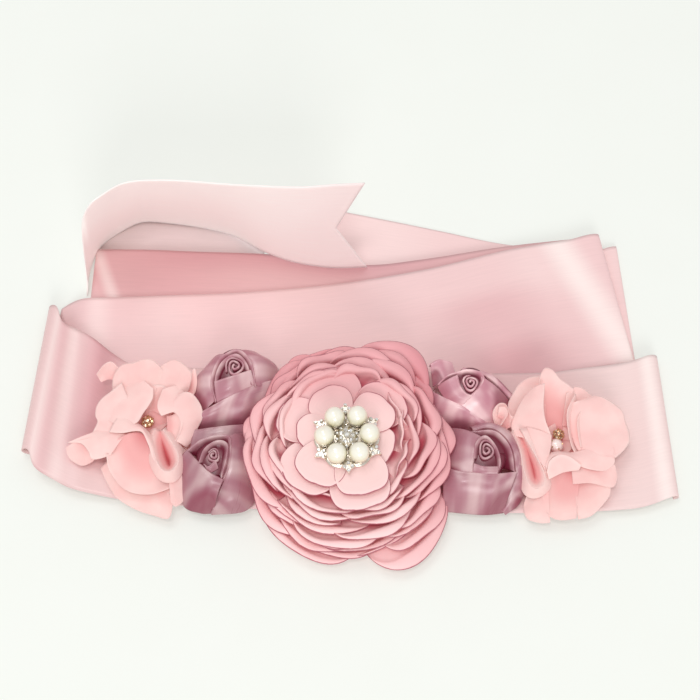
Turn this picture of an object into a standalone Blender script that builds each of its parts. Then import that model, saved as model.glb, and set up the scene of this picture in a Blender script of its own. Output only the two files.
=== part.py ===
"""A bridal belt: one long satin ribbon, folded back and forth on a table, with a row of fabric
flowers sewn to its front. The tables are in millimetres, in plan: X to the right, Y away from the
viewer, Z up from the table. The finished part is centred on its own bounding box."""

from collections import namedtuple
from math import cos, pi, radians, sin, tau

import bpy
import numpy as np
from mathutils import Vector

# Ribbon
MM = 0.001
WALL = 1.0
SEAM = 0.3
ACROSS = 4
STEP_ALONG = 9.0
FOLD_TURNS = 5
TAIL_ACROSS = 6
TAIL_NOTCH = 12.0

# The plane of the front panel, which every flower stands on
PLANE_Y = -46.0
PLANE_Z = 5.7
PLANE_TILT = radians(2.1)

# Main flower
PETALS_A_LAYER = 5
PETAL_LOBE = 0.035
PETAL_FRAY = 0.012
PETAL_FRAY_WAVES = 9
PETAL_WAVE = 0.35
PETAL_TURN_A_LAYER = 1.9
PETAL_STEPS = 40
PETAL_STEP = 2.25
PETAL_HUB_WALL = 1.9
PETAL_RIM_WALL = 1.0
FLOWER_CENTRE = (-1.0, -5.4)
PETAL_RISE = 2.6
PETAL_FLAT = 0.5
PETAL_SHARES = (PETAL_FLAT, 0.8, 1.0)
PETAL_WALL_SHARES = (1.0, 0.8, 0.25, 0.0)
LONG_PETAL_REACH = 9.5
LONG_PETAL_ANGLE = radians(-42)
LONG_PETAL_SPREAD = radians(24)

# Rosettes
ROSETTE_TURNS = 3.8
ROSETTE_STEPS_A_TURN = 14
ROSETTE_HEIGHT = 15.0
ROSETTE_FALL_A_TURN = 2.4
ROSETTE_WALL = 1.1
ROSETTE_BUD = 1.2
ROSETTE_WIDEN = 2.0
ROSETTE_WIDEN_MORE = 0.3
ROSETTE_SLOPE = 0.8
ROSETTE_SLOPE_A_TURN = 0.45
ROSETTE_BELLY = 0.4
ROSETTE_BASE = 0.6
ROSETTE_FOOT = 15.6

# Chiffon flowers
RUFFLE_WALL = 1.0
RUFFLE_STEPS = 56
RUFFLE_SHARES = (0.4, 0.75, 1.0)

# Brooch
BROOCH_CENTRE = (-1.2, -8.9)
BROOCH_STONES = 6
FIRST_PEARL = radians(3)
FIRST_TIP = radians(33)
TIP_TOP_SHARE = 0.5
CLUSTER_TOP_SHARE = 0.55
PLATE_RADIUS = 12.6
PLATE_WALL = 1.2
PEARL_RADIUS = 3.8
PEARL_RING = 8.8
TIP_RING = 11.9
TIP_RADIUS = 2.1
TIP_HEIGHT = 2.6
CLUSTER_RADIUS = 4.2
CLUSTER_HEIGHT = 4.4

# A line across the ribbon, from its far edge to its near one
Cross = namedtuple("Cross", "x_far y_far z_far x_near y_near z_near")
# A fold, given by the line that its outermost edge draws, seen from above
Fold = namedtuple("Fold", "x_far y_far x_near y_near out z_under z_over_far z_over_near")

LEFT_FOLD = Fold(-130.3, 18.0, -135.0, -49.0, -1, 0.5, 8.4, 7.6)
RIGHT_FOLD = Fold(130.6, -5.6, 133.0, -68.8, 1, 0.5, 6.8, 4.6)
BAND_FOLD = Fold(110.6, 55.2, 119.6, -7.2, 1, 3.1, 6.0, 4.4)
THIRD_FOLD = Fold(-109.8, 48.6, -111.8, -15.0, -1, 0.5, 3.4, 2.9)
FOURTH_FOLD = Fold(118.5, 51.0, 121.6, -12.0, 1, 0.5, 2.3, 1.8)

FRONT = [
    Cross(-122.8, 8.8, 8.8, -128.4, -57.6, 7.4),
    Cross(-117.2, 6.4, 7.8, -121.4, -61.5, 6.0),
    Cross(-110.4, 2.5, 8.8, -112.8, -66.3, 6.4),
    Cross(-99.4, -6.0, 7.0, -102.6, -68.4, 4.8),
    Cross(-90.4, -10.8, 6.4, -90.6, -70.6, 4.1),
    Cross(-77.7, -11.6, 6.3, -76.0, -72.4, 4.0),
    Cross(0.0, -13.0, 6.3, 0.0, -75.4, 4.0),
    Cross(63.0, -14.6, 6.3, 62.0, -76.0, 4.0),
    Cross(80.6, -14.4, 6.3, 81.0, -76.2, 4.0),
    Cross(112.6, -11.6, 6.6, 114.6, -74.2, 4.2),
    Cross(121.8, -9.0, 6.9, 124.2, -71.6, 4.4),
]
BAND = [
    Cross(-125.4, 19.8, 0.5, -130.4, -47.4, 0.5),
    Cross(-121.5, 22.4, 1.2, -126.4, -44.6, 0.9),
    Cross(-116.6, 23.2, 3.6, -120.6, -41.4, 2.8),
    Cross(-110.6, 23.2, 4.6, -112.2, -40.8, 4.0),
    Cross(-97.2, 23.7, 4.4, -97.0, -40.3, 4.0),
    Cross(-58.2, 25.2, 4.4, -56.4, -38.8, 4.0),
    Cross(-13.0, 29.2, 4.4, -7.4, -34.6, 4.0),
    Cross(32.4, 37.4, 4.4, 41.0, -26.0, 4.0),
    Cross(71.6, 48.2, 4.4, 81.0, -15.1, 4.1),
    Cross(97.5, 52.6, 5.2, 106.6, -10.7, 4.2),
]
THIRD = [
    Cross(103.0, 54.6, 3.1, 112.0, -8.7, 2.9),
    Cross(70.0, 50.4, 3.1, 78.6, -13.0, 2.9),
    Cross(30.0, 43.2, 3.1, 36.8, -20.4, 2.9),
    Cross(8.8, 40.6, 3.1, 12.2, -23.3, 2.9),
    Cross(-38.5, 46.4, 3.1, -38.0, -17.6, 2.9),
    Cross(-66.4, 47.5, 3.1, -66.6, -16.5, 2.9),
    Cross(-100.0, 48.8, 3.1, -101.0, -15.2, 2.9),
]
THIRD_RETURN = Cross(-102.0, 48.4, 0.5, -104.0, -15.0, 0.5)
FOURTH_RETURN = Cross(109.0, 48.4, 1.75, 111.4, -12.0, 1.75)
FOURTH = [
    Cross(112.4, 49.8, 0.5, 112.6, -11.0, 0.5),
    Cross(106.0, 50.2, 0.5, 105.6, 8.0, 0.5),
    Cross(98.0, 50.4, 0.5, 96.0, 29.4, 0.5),
    Cross(86.0, 51.0, 0.5, 82.0, 31.0, 0.5),
    Cross(71.3, 52.6, 0.5, 67.0, 31.0, 0.5),
    Cross(40.3, 60.0, 0.5, 34.6, 30.6, 0.5),
    Cross(22.5, 64.4, 0.5, 15.6, 30.4, 0.5),
    Cross(-1.4, 70.0, 0.5, -9.6, 31.0, 0.5),
    Cross(-24.0, 75.2, 0.5, -32.0, 34.0, 0.5),
]
# The tail stands on its far edge, from its cut end on the right to where it dives at the left
TAIL = [
    Cross(7.5, 39.2, 4.1, 6.0, 39.3, 68.0),
    Cross(-5.0, 38.6, 4.1, -6.6, 38.6, 68.0),
    Cross(-21.1, 40.7, 4.1, -19.9, 37.4, 68.0),
    Cross(-38.1, 47.1, 4.1, -35.2, 39.1, 66.4),
    Cross(-54.6, 58.6, 1.2, -49.2, 42.8, 62.4),
    Cross(-81.0, 64.4, 0.3, -72.2, 45.6, 61.0),
    Cross(-92.3, 65.4, 0.3, -82.0, 46.0, 60.5),
    Cross(-103.1, 59.6, 0.3, -92.2, 43.8, 61.5),
    Cross(-110.6, 52.4, 0.3, -102.0, 36.0, 62.2),
    Cross(-113.2, 46.4, 0.3, -107.4, 34.1, 55.0),
    Cross(-114.4, 41.0, 0.3, -111.2, 37.2, 42.0),
    Cross(-115.0, 36.6, 0.3, -113.2, 37.6, 29.0),
    Cross(-115.2, 33.0, 0.3, -114.2, 36.4, 17.0),
    Cross(-115.2, 29.6, 0.3, -114.4, 33.6, 8.6),
    Cross(-115.0, 26.6, 0.3, -114.2, 29.6, 3.4),
]

# The rings of petals, from the lowest up: half their width and half their length
PetalRing = namedtuple("PetalRing", "wide long")
PETAL_RINGS = [
    PetalRing(38.5, 49.0), PetalRing(39.5, 48.0), PetalRing(41.5, 46.5), PetalRing(42.5, 45.0),
    PetalRing(41.5, 43.0), PetalRing(39.5, 40.5), PetalRing(37.0, 38.0), PetalRing(34.0, 35.0),
    PetalRing(31.0, 32.0), PetalRing(27.5, 28.5), PetalRing(24.0, 25.5),
]

# The hidden layers between the panels, as one outline seen from above
CORE_CORNERS = [
    (-98.0, 43.0), (-36.0, 41.0), (-34.0, 27.0), (95.0, 27.0), (102.5, -16.0), (116.0, -18.0),
    (118.0, -62.0), (84.0, -71.0), (0.0, -71.5), (-70.0, -68.5), (-96.0, -61.0), (-104.0, -36.0),
]
CORE_CORNER_RADIUS = 4.0
CORE_CORNER_STEPS = 3
Ledge = namedtuple("Ledge", "z inset")
CORE_EDGE = [
    Ledge(0.0, 0.3), Ledge(0.3, 0.0), Ledge(0.8, 0.0), Ledge(1.1, 0.5),
    Ledge(1.4, 0.0), Ledge(1.7, 0.0), Ledge(2.0, 0.3),
]

# Rosettes and chiffon flowers, placed on the front plane
Rosette = namedtuple("Rosette", "name x y wide long turn wind")
ROSETTES = [
    Rosette("rosette_upper_left", -49.8, 23.0, 14.0, 18.4, 2.4, 1),
    Rosette("rosette_lower_left", -56.0, -12.2, 14.6, 17.8, 4.4, 1),
    Rosette("rosette_upper_right", 51.8, 21.4, 15.4, 17.0, 2.0, -1),
    Rosette("rosette_lower_right", 57.6, -12.4, 15.4, 18.0, 5.4, -1),
]
# The reach of a chiffon flower from its middle to the left, to the right and along the belt's width
Chiffon = namedtuple("Chiffon", "name x y left right long turn")
CHIFFONS = [
    Chiffon("chiffon_left", -86.0, 1.6, 27.5, 17.4, 33.0, 0.4),
    Chiffon("chiffon_right", 89.0, -2.6, 15.4, 24.5, 33.0, 1.3),
]
# A ruffle's size, and how much further it leans over the rosettes beside it
Ruffle = namedtuple("Ruffle", "name size lean hub rise curve waves wave_height wave_reach")
RUFFLES = [
    Ruffle("lower", 1.0, 1.0, 0.9, 9.5, 2.4, 7, 2.2, 0.06),
    Ruffle("upper", 0.66, 1.75, 2.5, 16.0, 2.2, 5, 2.0, 0.08),
]
Bead = namedtuple("Bead", "name x y z radius")
BEADS = [
    Bead("left_rhinestone", -82.2, 6.0, 7.2, 2.3),
    Bead("right_rhinestone", 84.4, 0.5, 6.8, 2.2),
    Bead("right_pearl", 83.6, -4.7, 9.0, 2.6),
]

Finish = namedtuple("Finish", "colour roughness metallic")
SATIN = Finish((0.87, 0.61, 0.60), 0.35, 0.0)
PETAL_SATIN = Finish((0.86, 0.50, 0.50), 0.5, 0.0)
ROSE_SATIN = Finish((0.52, 0.25, 0.31), 0.35, 0.0)
CHIFFON = Finish((0.98, 0.60, 0.56), 0.8, 0.0)
PEARL = Finish((0.90, 0.85, 0.74), 0.2, 0.0)
STONE = Finish((0.85, 0.87, 0.88), 0.05, 0.0)
SILVER = Finish((0.72, 0.71, 0.69), 0.25, 1.0)


def clear_scene():
    for thing in list(bpy.data.objects):
        bpy.data.objects.remove(thing, do_unlink=True)


def material_for(name, finish):
    made = bpy.data.materials.new(name)
    made.use_nodes = True
    shader = made.node_tree.nodes["Principled BSDF"]
    shader.inputs["Base Color"].default_value = (*finish.colour, 1.0)
    shader.inputs["Roughness"].default_value = finish.roughness
    shader.inputs["Metallic"].default_value = finish.metallic
    return made


def add_mesh(name, points, faces, finish, parent):
    """One object in the part's collection, from points in millimetres."""
    mesh = bpy.data.meshes.new(name)
    mesh.from_pydata([Vector(p) * MM for p in points], [], faces)
    mesh.materials.append(material_for(name, finish))
    mesh.shade_smooth()
    thing = bpy.data.objects.new(name, mesh)
    thing.parent = parent
    belt.objects.link(thing)
    return thing


def add_wall(thing, thickness, rim_share=None):
    """Gives an open surface its wall. With rim_share, the wall thins to that share at the rim."""
    solid = thing.modifiers.new("wall", "SOLIDIFY")
    solid.thickness = thickness * MM
    solid.offset = 0.0
    if rim_share is not None:
        solid.vertex_group = "hub"
        solid.thickness_vertex_group = rim_share


def smooth_line(knots, spacing):
    """Cubic interpolation through rows of points, spaced by the length between the rows."""
    rows = np.asarray(knots, float)
    gaps = np.linalg.norm(np.diff(rows, axis=0), axis=2).mean(axis=1)
    slopes = even_slopes(rows, gaps)
    made = []
    for i, gap in enumerate(gaps):
        steps = max(1, round(gap / spacing))
        for step in range(steps):
            made.append(hermite(rows[i], rows[i + 1], slopes[i] * gap, slopes[i + 1] * gap, step / steps))
    made.append(rows[-1])
    return np.array(made)


def even_slopes(rows, gaps):
    """Slopes at the rows that let no coordinate run past its neighbours between two rows."""
    rates = np.diff(rows, axis=0) / gaps[:, None, None]
    slopes = np.concatenate([rates[:1], np.zeros_like(rows[2:]), rates[-1:]])
    before, after = rates[:-1], rates[1:]
    agree = before * after > 0
    slopes[1:-1][agree] = (2 * before * after / (before + after + (~agree)))[agree]
    return slopes


def hermite(start, end, leave, arrive, t):
    s = 1.0 - t
    return (1 + 2 * t) * s * s * start + t * s * s * leave + (3 - 2 * t) * t * t * end - t * t * s * arrive


def ends_of(cross):
    return [(cross.x_far, cross.y_far, cross.z_far), (cross.x_near, cross.y_near, cross.z_near)]


def fold_rows(fold, start=-90, end=90):
    """Half a turn of the ribbon round its fold, from the layer under it to the layer over it."""
    rows = []
    for turn in np.linspace(radians(start), radians(end), FOLD_TURNS):
        row = []
        for x, y, over in (
            (fold.x_far, fold.y_far, fold.z_over_far),
            (fold.x_near, fold.y_near, fold.z_over_near),
        ):
            radius = (over - fold.z_under) / 2
            z = fold.z_under + radius * (1 + sin(turn))
            row.append((x - fold.out * radius * (1 - cos(turn)), y, z))
        rows.append(row)
    return rows


def grid_faces(rows, columns):
    return [
        (i * columns + j, (i + 1) * columns + j, (i + 1) * columns + j + 1, i * columns + j + 1)
        for i in range(rows - 1)
        for j in range(columns - 1)
    ]


def add_ribbon(name, knots, across=ACROSS, notch=0.0):
    """A stretch of ribbon through its cross lines. A notch cuts its first end to a V."""
    lines = smooth_line(knots, STEP_ALONG)
    length = np.linalg.norm(np.diff(lines.mean(axis=1), axis=0), axis=1).sum()
    share = np.linspace(0.0, 1.0, len(lines))
    columns = []
    for j in range(across + 1):
        side = j / across
        line = lines[:, 0] * (1 - side) + lines[:, 1] * side
        cut = notch / length * (1 - abs(2 * side - 1))
        taken = cut + (1 - cut) * share
        columns.append(np.stack([np.interp(taken, share, line[:, k]) for k in range(3)], axis=1))
    points = np.stack(columns, axis=1).reshape(-1, 3)
    thing = add_mesh(name, points, grid_faces(len(lines), across + 1), SATIN, root)
    add_wall(thing, WALL)
    return thing


def make_ribbon():
    front = fold_rows(LEFT_FOLD) + [ends_of(c) for c in FRONT] + fold_rows(RIGHT_FOLD, 90, -90)
    add_ribbon("ribbon_front", front)
    band = [ends_of(c) for c in BAND] + fold_rows(BAND_FOLD, 90, -90)
    add_ribbon("ribbon_band", band)
    third = [ends_of(c) for c in THIRD] + fold_rows(THIRD_FOLD, 90, -90) + [ends_of(THIRD_RETURN)]
    add_ribbon("ribbon_third", third)
    fourth = [ends_of(FOURTH_RETURN)] + fold_rows(FOURTH_FOLD, 90, -90) + [ends_of(c) for c in FOURTH]
    add_ribbon("ribbon_fourth", fourth)
    add_ribbon("ribbon_tail", [ends_of(c) for c in TAIL], TAIL_ACROSS, TAIL_NOTCH)


def rounded_outline(corners, radius, steps):
    """The corners' outline with each one rounded, and the inward direction at each point."""
    points = []
    for i, corner in enumerate(corners):
        here = Vector(corner)
        to_last = (Vector(corners[i - 1]) - here).normalized()
        to_next = (Vector(corners[(i + 1) % len(corners)]) - here).normalized()
        for step in range(steps + 1):
            t = step / steps
            points.append(here + to_last * radius * (1 - t) ** 2 + to_next * radius * t**2)
    inward = []
    for i, here in enumerate(points):
        along = (points[(i + 1) % len(points)] - points[i - 1]).normalized()
        inward.append(Vector((along.y, -along.x)))
    return points, inward


def make_core():
    """The hidden layers as one flat solid, grooved round its edge where the layers lie."""
    outline, inward = rounded_outline(CORE_CORNERS, CORE_CORNER_RADIUS, CORE_CORNER_STEPS)
    count = len(outline)
    points = []
    for ledge in CORE_EDGE:
        for at, into in zip(outline, inward):
            moved = at + into * ledge.inset
            points.append((moved.x, moved.y, ledge.z))
    faces = [tuple(range(count))]
    for level in range(len(CORE_EDGE) - 1):
        low, high = level * count, (level + 1) * count
        for i in range(count):
            j = (i + 1) % count
            faces.append((low + j, low + i, high + i, high + j))
    faces.append(tuple(reversed(range(len(points) - count, len(points)))))
    add_mesh("ribbon_hidden_layers", points, faces, SATIN, root)


def add_dish(name, centre, shares, steps, place, finish):
    """A round sheet: place(angle, share) gives the radius in x, the radius in y and the height."""
    points = [(*centre, place(0.0, 0.0)[2])]
    for share in shares:
        for i in range(steps):
            angle = tau * i / steps
            wide, long, height = place(angle, share)
            points.append((centre[0] + wide * cos(angle), centre[1] + long * sin(angle), height))
    faces = [(0, 1 + i, 1 + (i + 1) % steps) for i in range(steps)]
    for ring in range(len(shares) - 1):
        near, far = 1 + ring * steps, 1 + (ring + 1) * steps
        for i in range(steps):
            j = (i + 1) % steps
            faces.append((near + i, far + i, far + j, near + j))
    return add_mesh(name, points, faces, finish, plane)


def petal_layer(layer):
    """Ring of overlapping petals number `layer`, counted from the bottom."""
    ring = PETAL_RINGS[layer]
    hub = SEAM + PETAL_HUB_WALL / 2 + PETAL_STEP * layer
    turn = PETAL_TURN_A_LAYER * layer
    reach = LONG_PETAL_REACH if layer < 2 else 0.0

    def place(angle, share):
        fray = PETAL_FRAY * cos(PETAL_FRAY_WAVES * angle + 2 * turn)
        lobe = 1 + PETAL_LOBE * cos(PETALS_A_LAYER * angle + turn) + fray
        off = (angle - LONG_PETAL_ANGLE + pi) % tau - pi
        long_petal = reach * np.exp(-((off / LONG_PETAL_SPREAD) ** 2))
        wide, long = ((size * lobe + long_petal) * share for size in ring)
        bent = max(0.0, share - PETAL_FLAT) / (1 - PETAL_FLAT)
        height = hub + bent**2 * (PETAL_RISE + PETAL_WAVE * cos(PETALS_A_LAYER * angle + turn + 0.8))
        return wide, long, height

    name = f"petals_{layer + 1:02d}"
    thing = add_dish(name, FLOWER_CENTRE, PETAL_SHARES, PETAL_STEPS, place, PETAL_SATIN)
    group = thing.vertex_groups.new(name="hub")
    for index in range(len(thing.data.vertices)):
        ring_number = (index + PETAL_STEPS - 1) // PETAL_STEPS
        group.add([index], PETAL_WALL_SHARES[ring_number], "REPLACE")
    add_wall(thing, PETAL_HUB_WALL, PETAL_RIM_WALL / PETAL_HUB_WALL)


def make_rosette(kind):
    """A strip of satin wound outwards from a tight bud, its lip lower with each turn."""
    count = round(ROSETTE_TURNS * ROSETTE_STEPS_A_TURN)
    points = []
    for i in range(count + 1):
        turns = i / ROSETTE_STEPS_A_TURN
        angle = kind.turn + kind.wind * tau * turns
        lip = ROSETTE_BUD + ROSETTE_WIDEN * turns + ROSETTE_WIDEN_MORE * turns**2
        foot = lip + ROSETTE_SLOPE + ROSETTE_SLOPE_A_TURN * turns
        height = ROSETTE_HEIGHT - ROSETTE_FALL_A_TURN * turns
        belly = (foot + lip) / 2 + ROSETTE_BELLY
        for radius, z in ((foot, ROSETTE_BASE), (belly, 0.6 * height), (lip, height)):
            x = kind.x + kind.wide * radius / ROSETTE_FOOT * cos(angle)
            y = kind.y + kind.long * radius / ROSETTE_FOOT * sin(angle)
            points.append((x, y, z))
    thing = add_mesh(kind.name, points, grid_faces(count + 1, 3), ROSE_SATIN, plane)
    add_wall(thing, ROSETTE_WALL)


def make_chiffon(kind):
    """A wide ruffle with a smaller one in it. Both reach less far on the side of the rosettes."""
    for ruffle in RUFFLES:

        def place(angle, share, ruffle=ruffle):
            left, right = cos(angle) < 0, cos(angle) > 0
            reach = kind.left * left + kind.right * right
            lean = ruffle.lean if reach == min(kind.left, kind.right) else 1.0
            size = ruffle.size * share * (1 + ruffle.wave_reach * share * sin(ruffle.waves * angle))
            wave = share**3 * cos(ruffle.waves * angle + kind.turn)
            height = ruffle.hub + ruffle.rise * share**ruffle.curve + ruffle.wave_height * wave
            return reach * lean * size, kind.long * size, height

        name = f"{kind.name}_{ruffle.name}"
        thing = add_dish(name, (kind.x, kind.y), RUFFLE_SHARES, RUFFLE_STEPS, place, CHIFFON)
        add_wall(thing, RUFFLE_WALL)


def add_ball(name, at, radius, finish, segments=16, rings=9):
    bpy.ops.mesh.primitive_uv_sphere_add(segments=segments, ring_count=rings, radius=radius * MM)
    return adopt(name, at, finish)


def adopt(name, at, finish):
    """Names the primitive just made and stands it on the front plane."""
    thing = bpy.context.object
    thing.name = name
    thing.data.name = name
    for collection in list(thing.users_collection):
        collection.objects.unlink(thing)
    belt.objects.link(thing)
    thing.data.materials.append(material_for(name, finish))
    thing.data.shade_smooth()
    thing.parent = plane
    thing.location = Vector(at) * MM
    return thing


def make_brooch():
    x, y = BROOCH_CENTRE
    seat = SEAM + PETAL_HUB_WALL + PETAL_STEP * (len(PETAL_RINGS) - 1) + SEAM
    bpy.ops.mesh.primitive_cylinder_add(vertices=24, radius=PLATE_RADIUS * MM, depth=PLATE_WALL * MM)
    adopt("brooch_plate", (x, y, seat + PLATE_WALL / 2), SILVER)
    top = seat + PLATE_WALL + SEAM
    for i in range(BROOCH_STONES):
        turn = tau * i / BROOCH_STONES
        angle = FIRST_PEARL + turn
        at = (x + PEARL_RING * cos(angle), y + PEARL_RING * sin(angle), top + PEARL_RADIUS)
        add_ball(f"brooch_pearl_{i + 1}", at, PEARL_RADIUS, PEARL)
        angle = FIRST_TIP + turn
        bpy.ops.mesh.primitive_cone_add(
            vertices=8,
            radius1=TIP_RADIUS * MM,
            radius2=TIP_TOP_SHARE * TIP_RADIUS * MM,
            depth=TIP_HEIGHT * MM,
        )
        at = (x + TIP_RING * cos(angle), y + TIP_RING * sin(angle), top + TIP_HEIGHT / 2)
        adopt(f"brooch_tip_{i + 1}", at, STONE)
    bpy.ops.mesh.primitive_cone_add(
        vertices=12,
        radius1=CLUSTER_RADIUS * MM,
        radius2=CLUSTER_TOP_SHARE * CLUSTER_RADIUS * MM,
        depth=CLUSTER_HEIGHT * MM,
    )
    adopt("brooch_cluster", (x, y, top + CLUSTER_HEIGHT / 2), STONE)


def centre_on_floor():
    """Moves the whole part so that its box is centred over the origin and stands on z = 0."""
    bpy.context.view_layer.update()
    graph = bpy.context.evaluated_depsgraph_get()
    corners = []
    for thing in belt.objects:
        if thing.type == "MESH":
            shape = thing.evaluated_get(graph)
            corners += [shape.matrix_world @ v.co for v in shape.to_mesh().vertices]
    low = [min(c[k] for c in corners) for k in range(3)]
    high = [max(c[k] for c in corners) for k in range(3)]
    root.location = (-(low[0] + high[0]) / 2, -(low[1] + high[1]) / 2, -low[2])


clear_scene()
belt = bpy.data.collections.new("bridal_belt")
bpy.context.scene.collection.children.link(belt)
root = bpy.data.objects.new("belt_root", None)
belt.objects.link(root)
plane = bpy.data.objects.new("front_plane", None)
belt.objects.link(plane)
plane.parent = root
plane.location = (0.0, PLANE_Y * MM, PLANE_Z * MM)
plane.rotation_euler = (PLANE_TILT, 0.0, 0.0)

make_ribbon()
make_core()
for number in range(len(PETAL_RINGS)):
    petal_layer(number)
for rosette in ROSETTES:
    make_rosette(rosette)
for chiffon in CHIFFONS:
    make_chiffon(chiffon)
for bead in BEADS:
    finish = PEARL if "pearl" in bead.name else STONE
    add_ball(bead.name, (bead.x, bead.y, bead.z), bead.radius, finish, 12, 7)
make_brooch()
centre_on_floor()
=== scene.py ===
"""The finish of a bridal belt: a folded satin ribbon with fabric flowers and a pearl brooch.

Shapes are worked out in millimetres, in plan: X to the right, Y away from the viewer, Z up from the
table. Each piece is a thin shell on the form of the solid that it replaces."""

from collections import namedtuple
from math import cos, pi, radians, sin, tau
from random import Random
import bpy
import numpy as np
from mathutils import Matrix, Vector


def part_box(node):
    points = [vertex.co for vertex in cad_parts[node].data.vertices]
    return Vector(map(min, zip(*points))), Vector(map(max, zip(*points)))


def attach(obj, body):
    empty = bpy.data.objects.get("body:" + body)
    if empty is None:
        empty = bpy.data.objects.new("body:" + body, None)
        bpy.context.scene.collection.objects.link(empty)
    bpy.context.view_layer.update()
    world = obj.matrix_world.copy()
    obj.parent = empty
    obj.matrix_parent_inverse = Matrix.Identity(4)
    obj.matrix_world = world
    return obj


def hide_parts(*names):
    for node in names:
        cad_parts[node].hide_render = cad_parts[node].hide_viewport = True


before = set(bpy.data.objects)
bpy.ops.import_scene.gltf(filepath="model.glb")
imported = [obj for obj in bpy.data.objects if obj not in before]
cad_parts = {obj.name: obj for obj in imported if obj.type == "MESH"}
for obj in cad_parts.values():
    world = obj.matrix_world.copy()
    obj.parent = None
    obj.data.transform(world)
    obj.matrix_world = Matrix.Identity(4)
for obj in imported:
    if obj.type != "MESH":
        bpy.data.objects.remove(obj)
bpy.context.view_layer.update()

MM = 0.001

# The plane of the front panel, which the flowers stand on, and two middles in it
PLANE_Y = -46.0
PLANE_Z = 5.7
PLANE_TILT = radians(2.1)
FLOWER_CENTRE = (-1.0, -5.4)
BROOCH_CENTRE = (-1.2, -8.9)
# How high over that plane the brooch's plate lies, and how thick it is
BROOCH_SEAT = 25.0
PLATE_WALL = 1.2

RIBBON_WIDTH = 64.0
SATIN_WALL = 0.35
# How far the tail's V is cut in
TAIL_NOTCH = 12.0
# How finely the ribbon is built: the length of a step along it, the steps across it, the lines round a
# fold, and how often its lines are softened
STEP_ALONG = 1.6
ACROSS = 36
FOLD_TURNS = 9
SOFTENINGS = 4
# How softly a crease ends towards an edge of the ribbon, as a share of its width
CREASE_FADE = 0.06

# A line across the ribbon, from its far edge to its near one
Cross = namedtuple("Cross", "x_far y_far z_far x_near y_near z_near")
# A fold, given by the line that its outermost edge draws, seen from above
Fold = namedtuple("Fold", "x_far y_far x_near y_near out z_under z_over_far z_over_near")
# A soft ridge or trough: where it lies along the ribbon, the shares of the width that it runs between,
# how far it leans over the width, its half-width and its depth
Crease = namedtuple("Crease", "along start end lean wide deep")

LEFT_FOLD = Fold(-130.3, 18.0, -135.0, -49.0, -1, 0.5, 8.4, 7.6)
RIGHT_FOLD = Fold(130.6, -5.6, 133.0, -68.8, 1, 0.5, 6.8, 4.6)
BAND_FOLD = Fold(110.6, 55.2, 120.4, -8.5, 1, 3.1, 6.0, 4.4)
THIRD_FOLD = Fold(-112.6, 48.6, -113.6, -15.0, -1, 0.5, 3.4, 2.9)
FOURTH_FOLD = Fold(118.5, 51.0, 121.6, -12.0, 1, 0.5, 2.3, 1.8)

FRONT = [
    Cross(-122.8, 8.8, 8.8, -128.4, -57.6, 7.4),
    Cross(-117.2, 6.4, 7.8, -121.4, -61.5, 6.0),
    Cross(-110.4, 2.5, 8.8, -112.8, -66.3, 6.4),
    Cross(-99.4, -6.0, 7.0, -102.6, -68.4, 4.8),
    Cross(-90.4, -10.8, 6.4, -90.6, -70.6, 4.1),
    Cross(-77.7, -11.6, 6.3, -76.0, -72.4, 4.0),
    Cross(0.0, -13.0, 6.3, 0.0, -75.4, 4.0),
    Cross(63.0, -14.6, 6.3, 62.0, -76.0, 4.0),
    Cross(80.6, -14.4, 6.3, 81.0, -76.2, 4.0),
    Cross(97.0, -12.2, 6.5, 98.0, -75.4, 4.1),
    Cross(112.6, -10.2, 6.6, 114.6, -74.2, 4.2),
    Cross(121.8, -7.9, 6.9, 124.2, -71.6, 4.4),
]
BAND = [
    Cross(-125.4, 19.8, 0.5, -130.4, -47.4, 0.5),
    Cross(-121.5, 22.4, 1.2, -126.4, -44.6, 0.9),
    Cross(-116.6, 23.2, 3.6, -120.6, -41.4, 2.8),
    Cross(-110.6, 23.2, 4.6, -112.2, -40.8, 4.0),
    Cross(-97.2, 23.7, 4.4, -97.0, -40.3, 4.0),
    Cross(-58.2, 25.2, 4.4, -56.4, -38.8, 4.0),
    Cross(-13.0, 29.2, 4.4, -7.4, -34.6, 4.0),
    Cross(32.4, 37.4, 4.4, 41.0, -26.0, 4.0),
    Cross(71.6, 48.2, 4.4, 81.0, -15.1, 4.1),
    Cross(97.5, 52.6, 5.2, 106.6, -10.7, 4.2),
]
THIRD = [
    Cross(103.0, 54.6, 3.1, 112.0, -8.7, 2.9),
    Cross(70.0, 50.4, 3.1, 78.6, -13.0, 2.9),
    Cross(30.0, 43.2, 3.1, 36.8, -20.4, 2.9),
    Cross(8.8, 40.6, 3.1, 12.2, -23.3, 2.9),
    Cross(-38.5, 46.4, 3.1, -38.0, -17.6, 2.9),
    Cross(-66.4, 47.5, 3.1, -66.6, -16.5, 2.9),
    Cross(-100.0, 48.8, 3.1, -101.0, -15.2, 2.9),
]
THIRD_RETURN = Cross(-104.0, 48.4, 0.5, -104.0, -15.0, 0.5)
FOURTH_RETURN = Cross(109.0, 48.4, 1.75, 111.4, -12.0, 1.75)
FOURTH = [
    Cross(112.4, 49.8, 0.5, 112.6, -11.0, 0.5),
    Cross(106.0, 50.2, 0.5, 105.6, 8.0, 0.5),
    Cross(98.0, 50.4, 0.5, 96.0, 29.4, 0.5),
    Cross(86.0, 51.0, 0.5, 82.0, 31.0, 0.5),
    Cross(71.3, 52.6, 0.5, 67.0, 31.0, 0.5),
    Cross(40.3, 60.0, 0.5, 34.6, 30.6, 0.5),
    Cross(22.5, 64.4, 0.5, 15.6, 30.4, 0.5),
    Cross(-1.4, 70.0, 0.5, -9.6, 31.0, 0.5),
    Cross(-24.0, 75.2, 0.5, -32.0, 34.0, 0.5),
]
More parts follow.
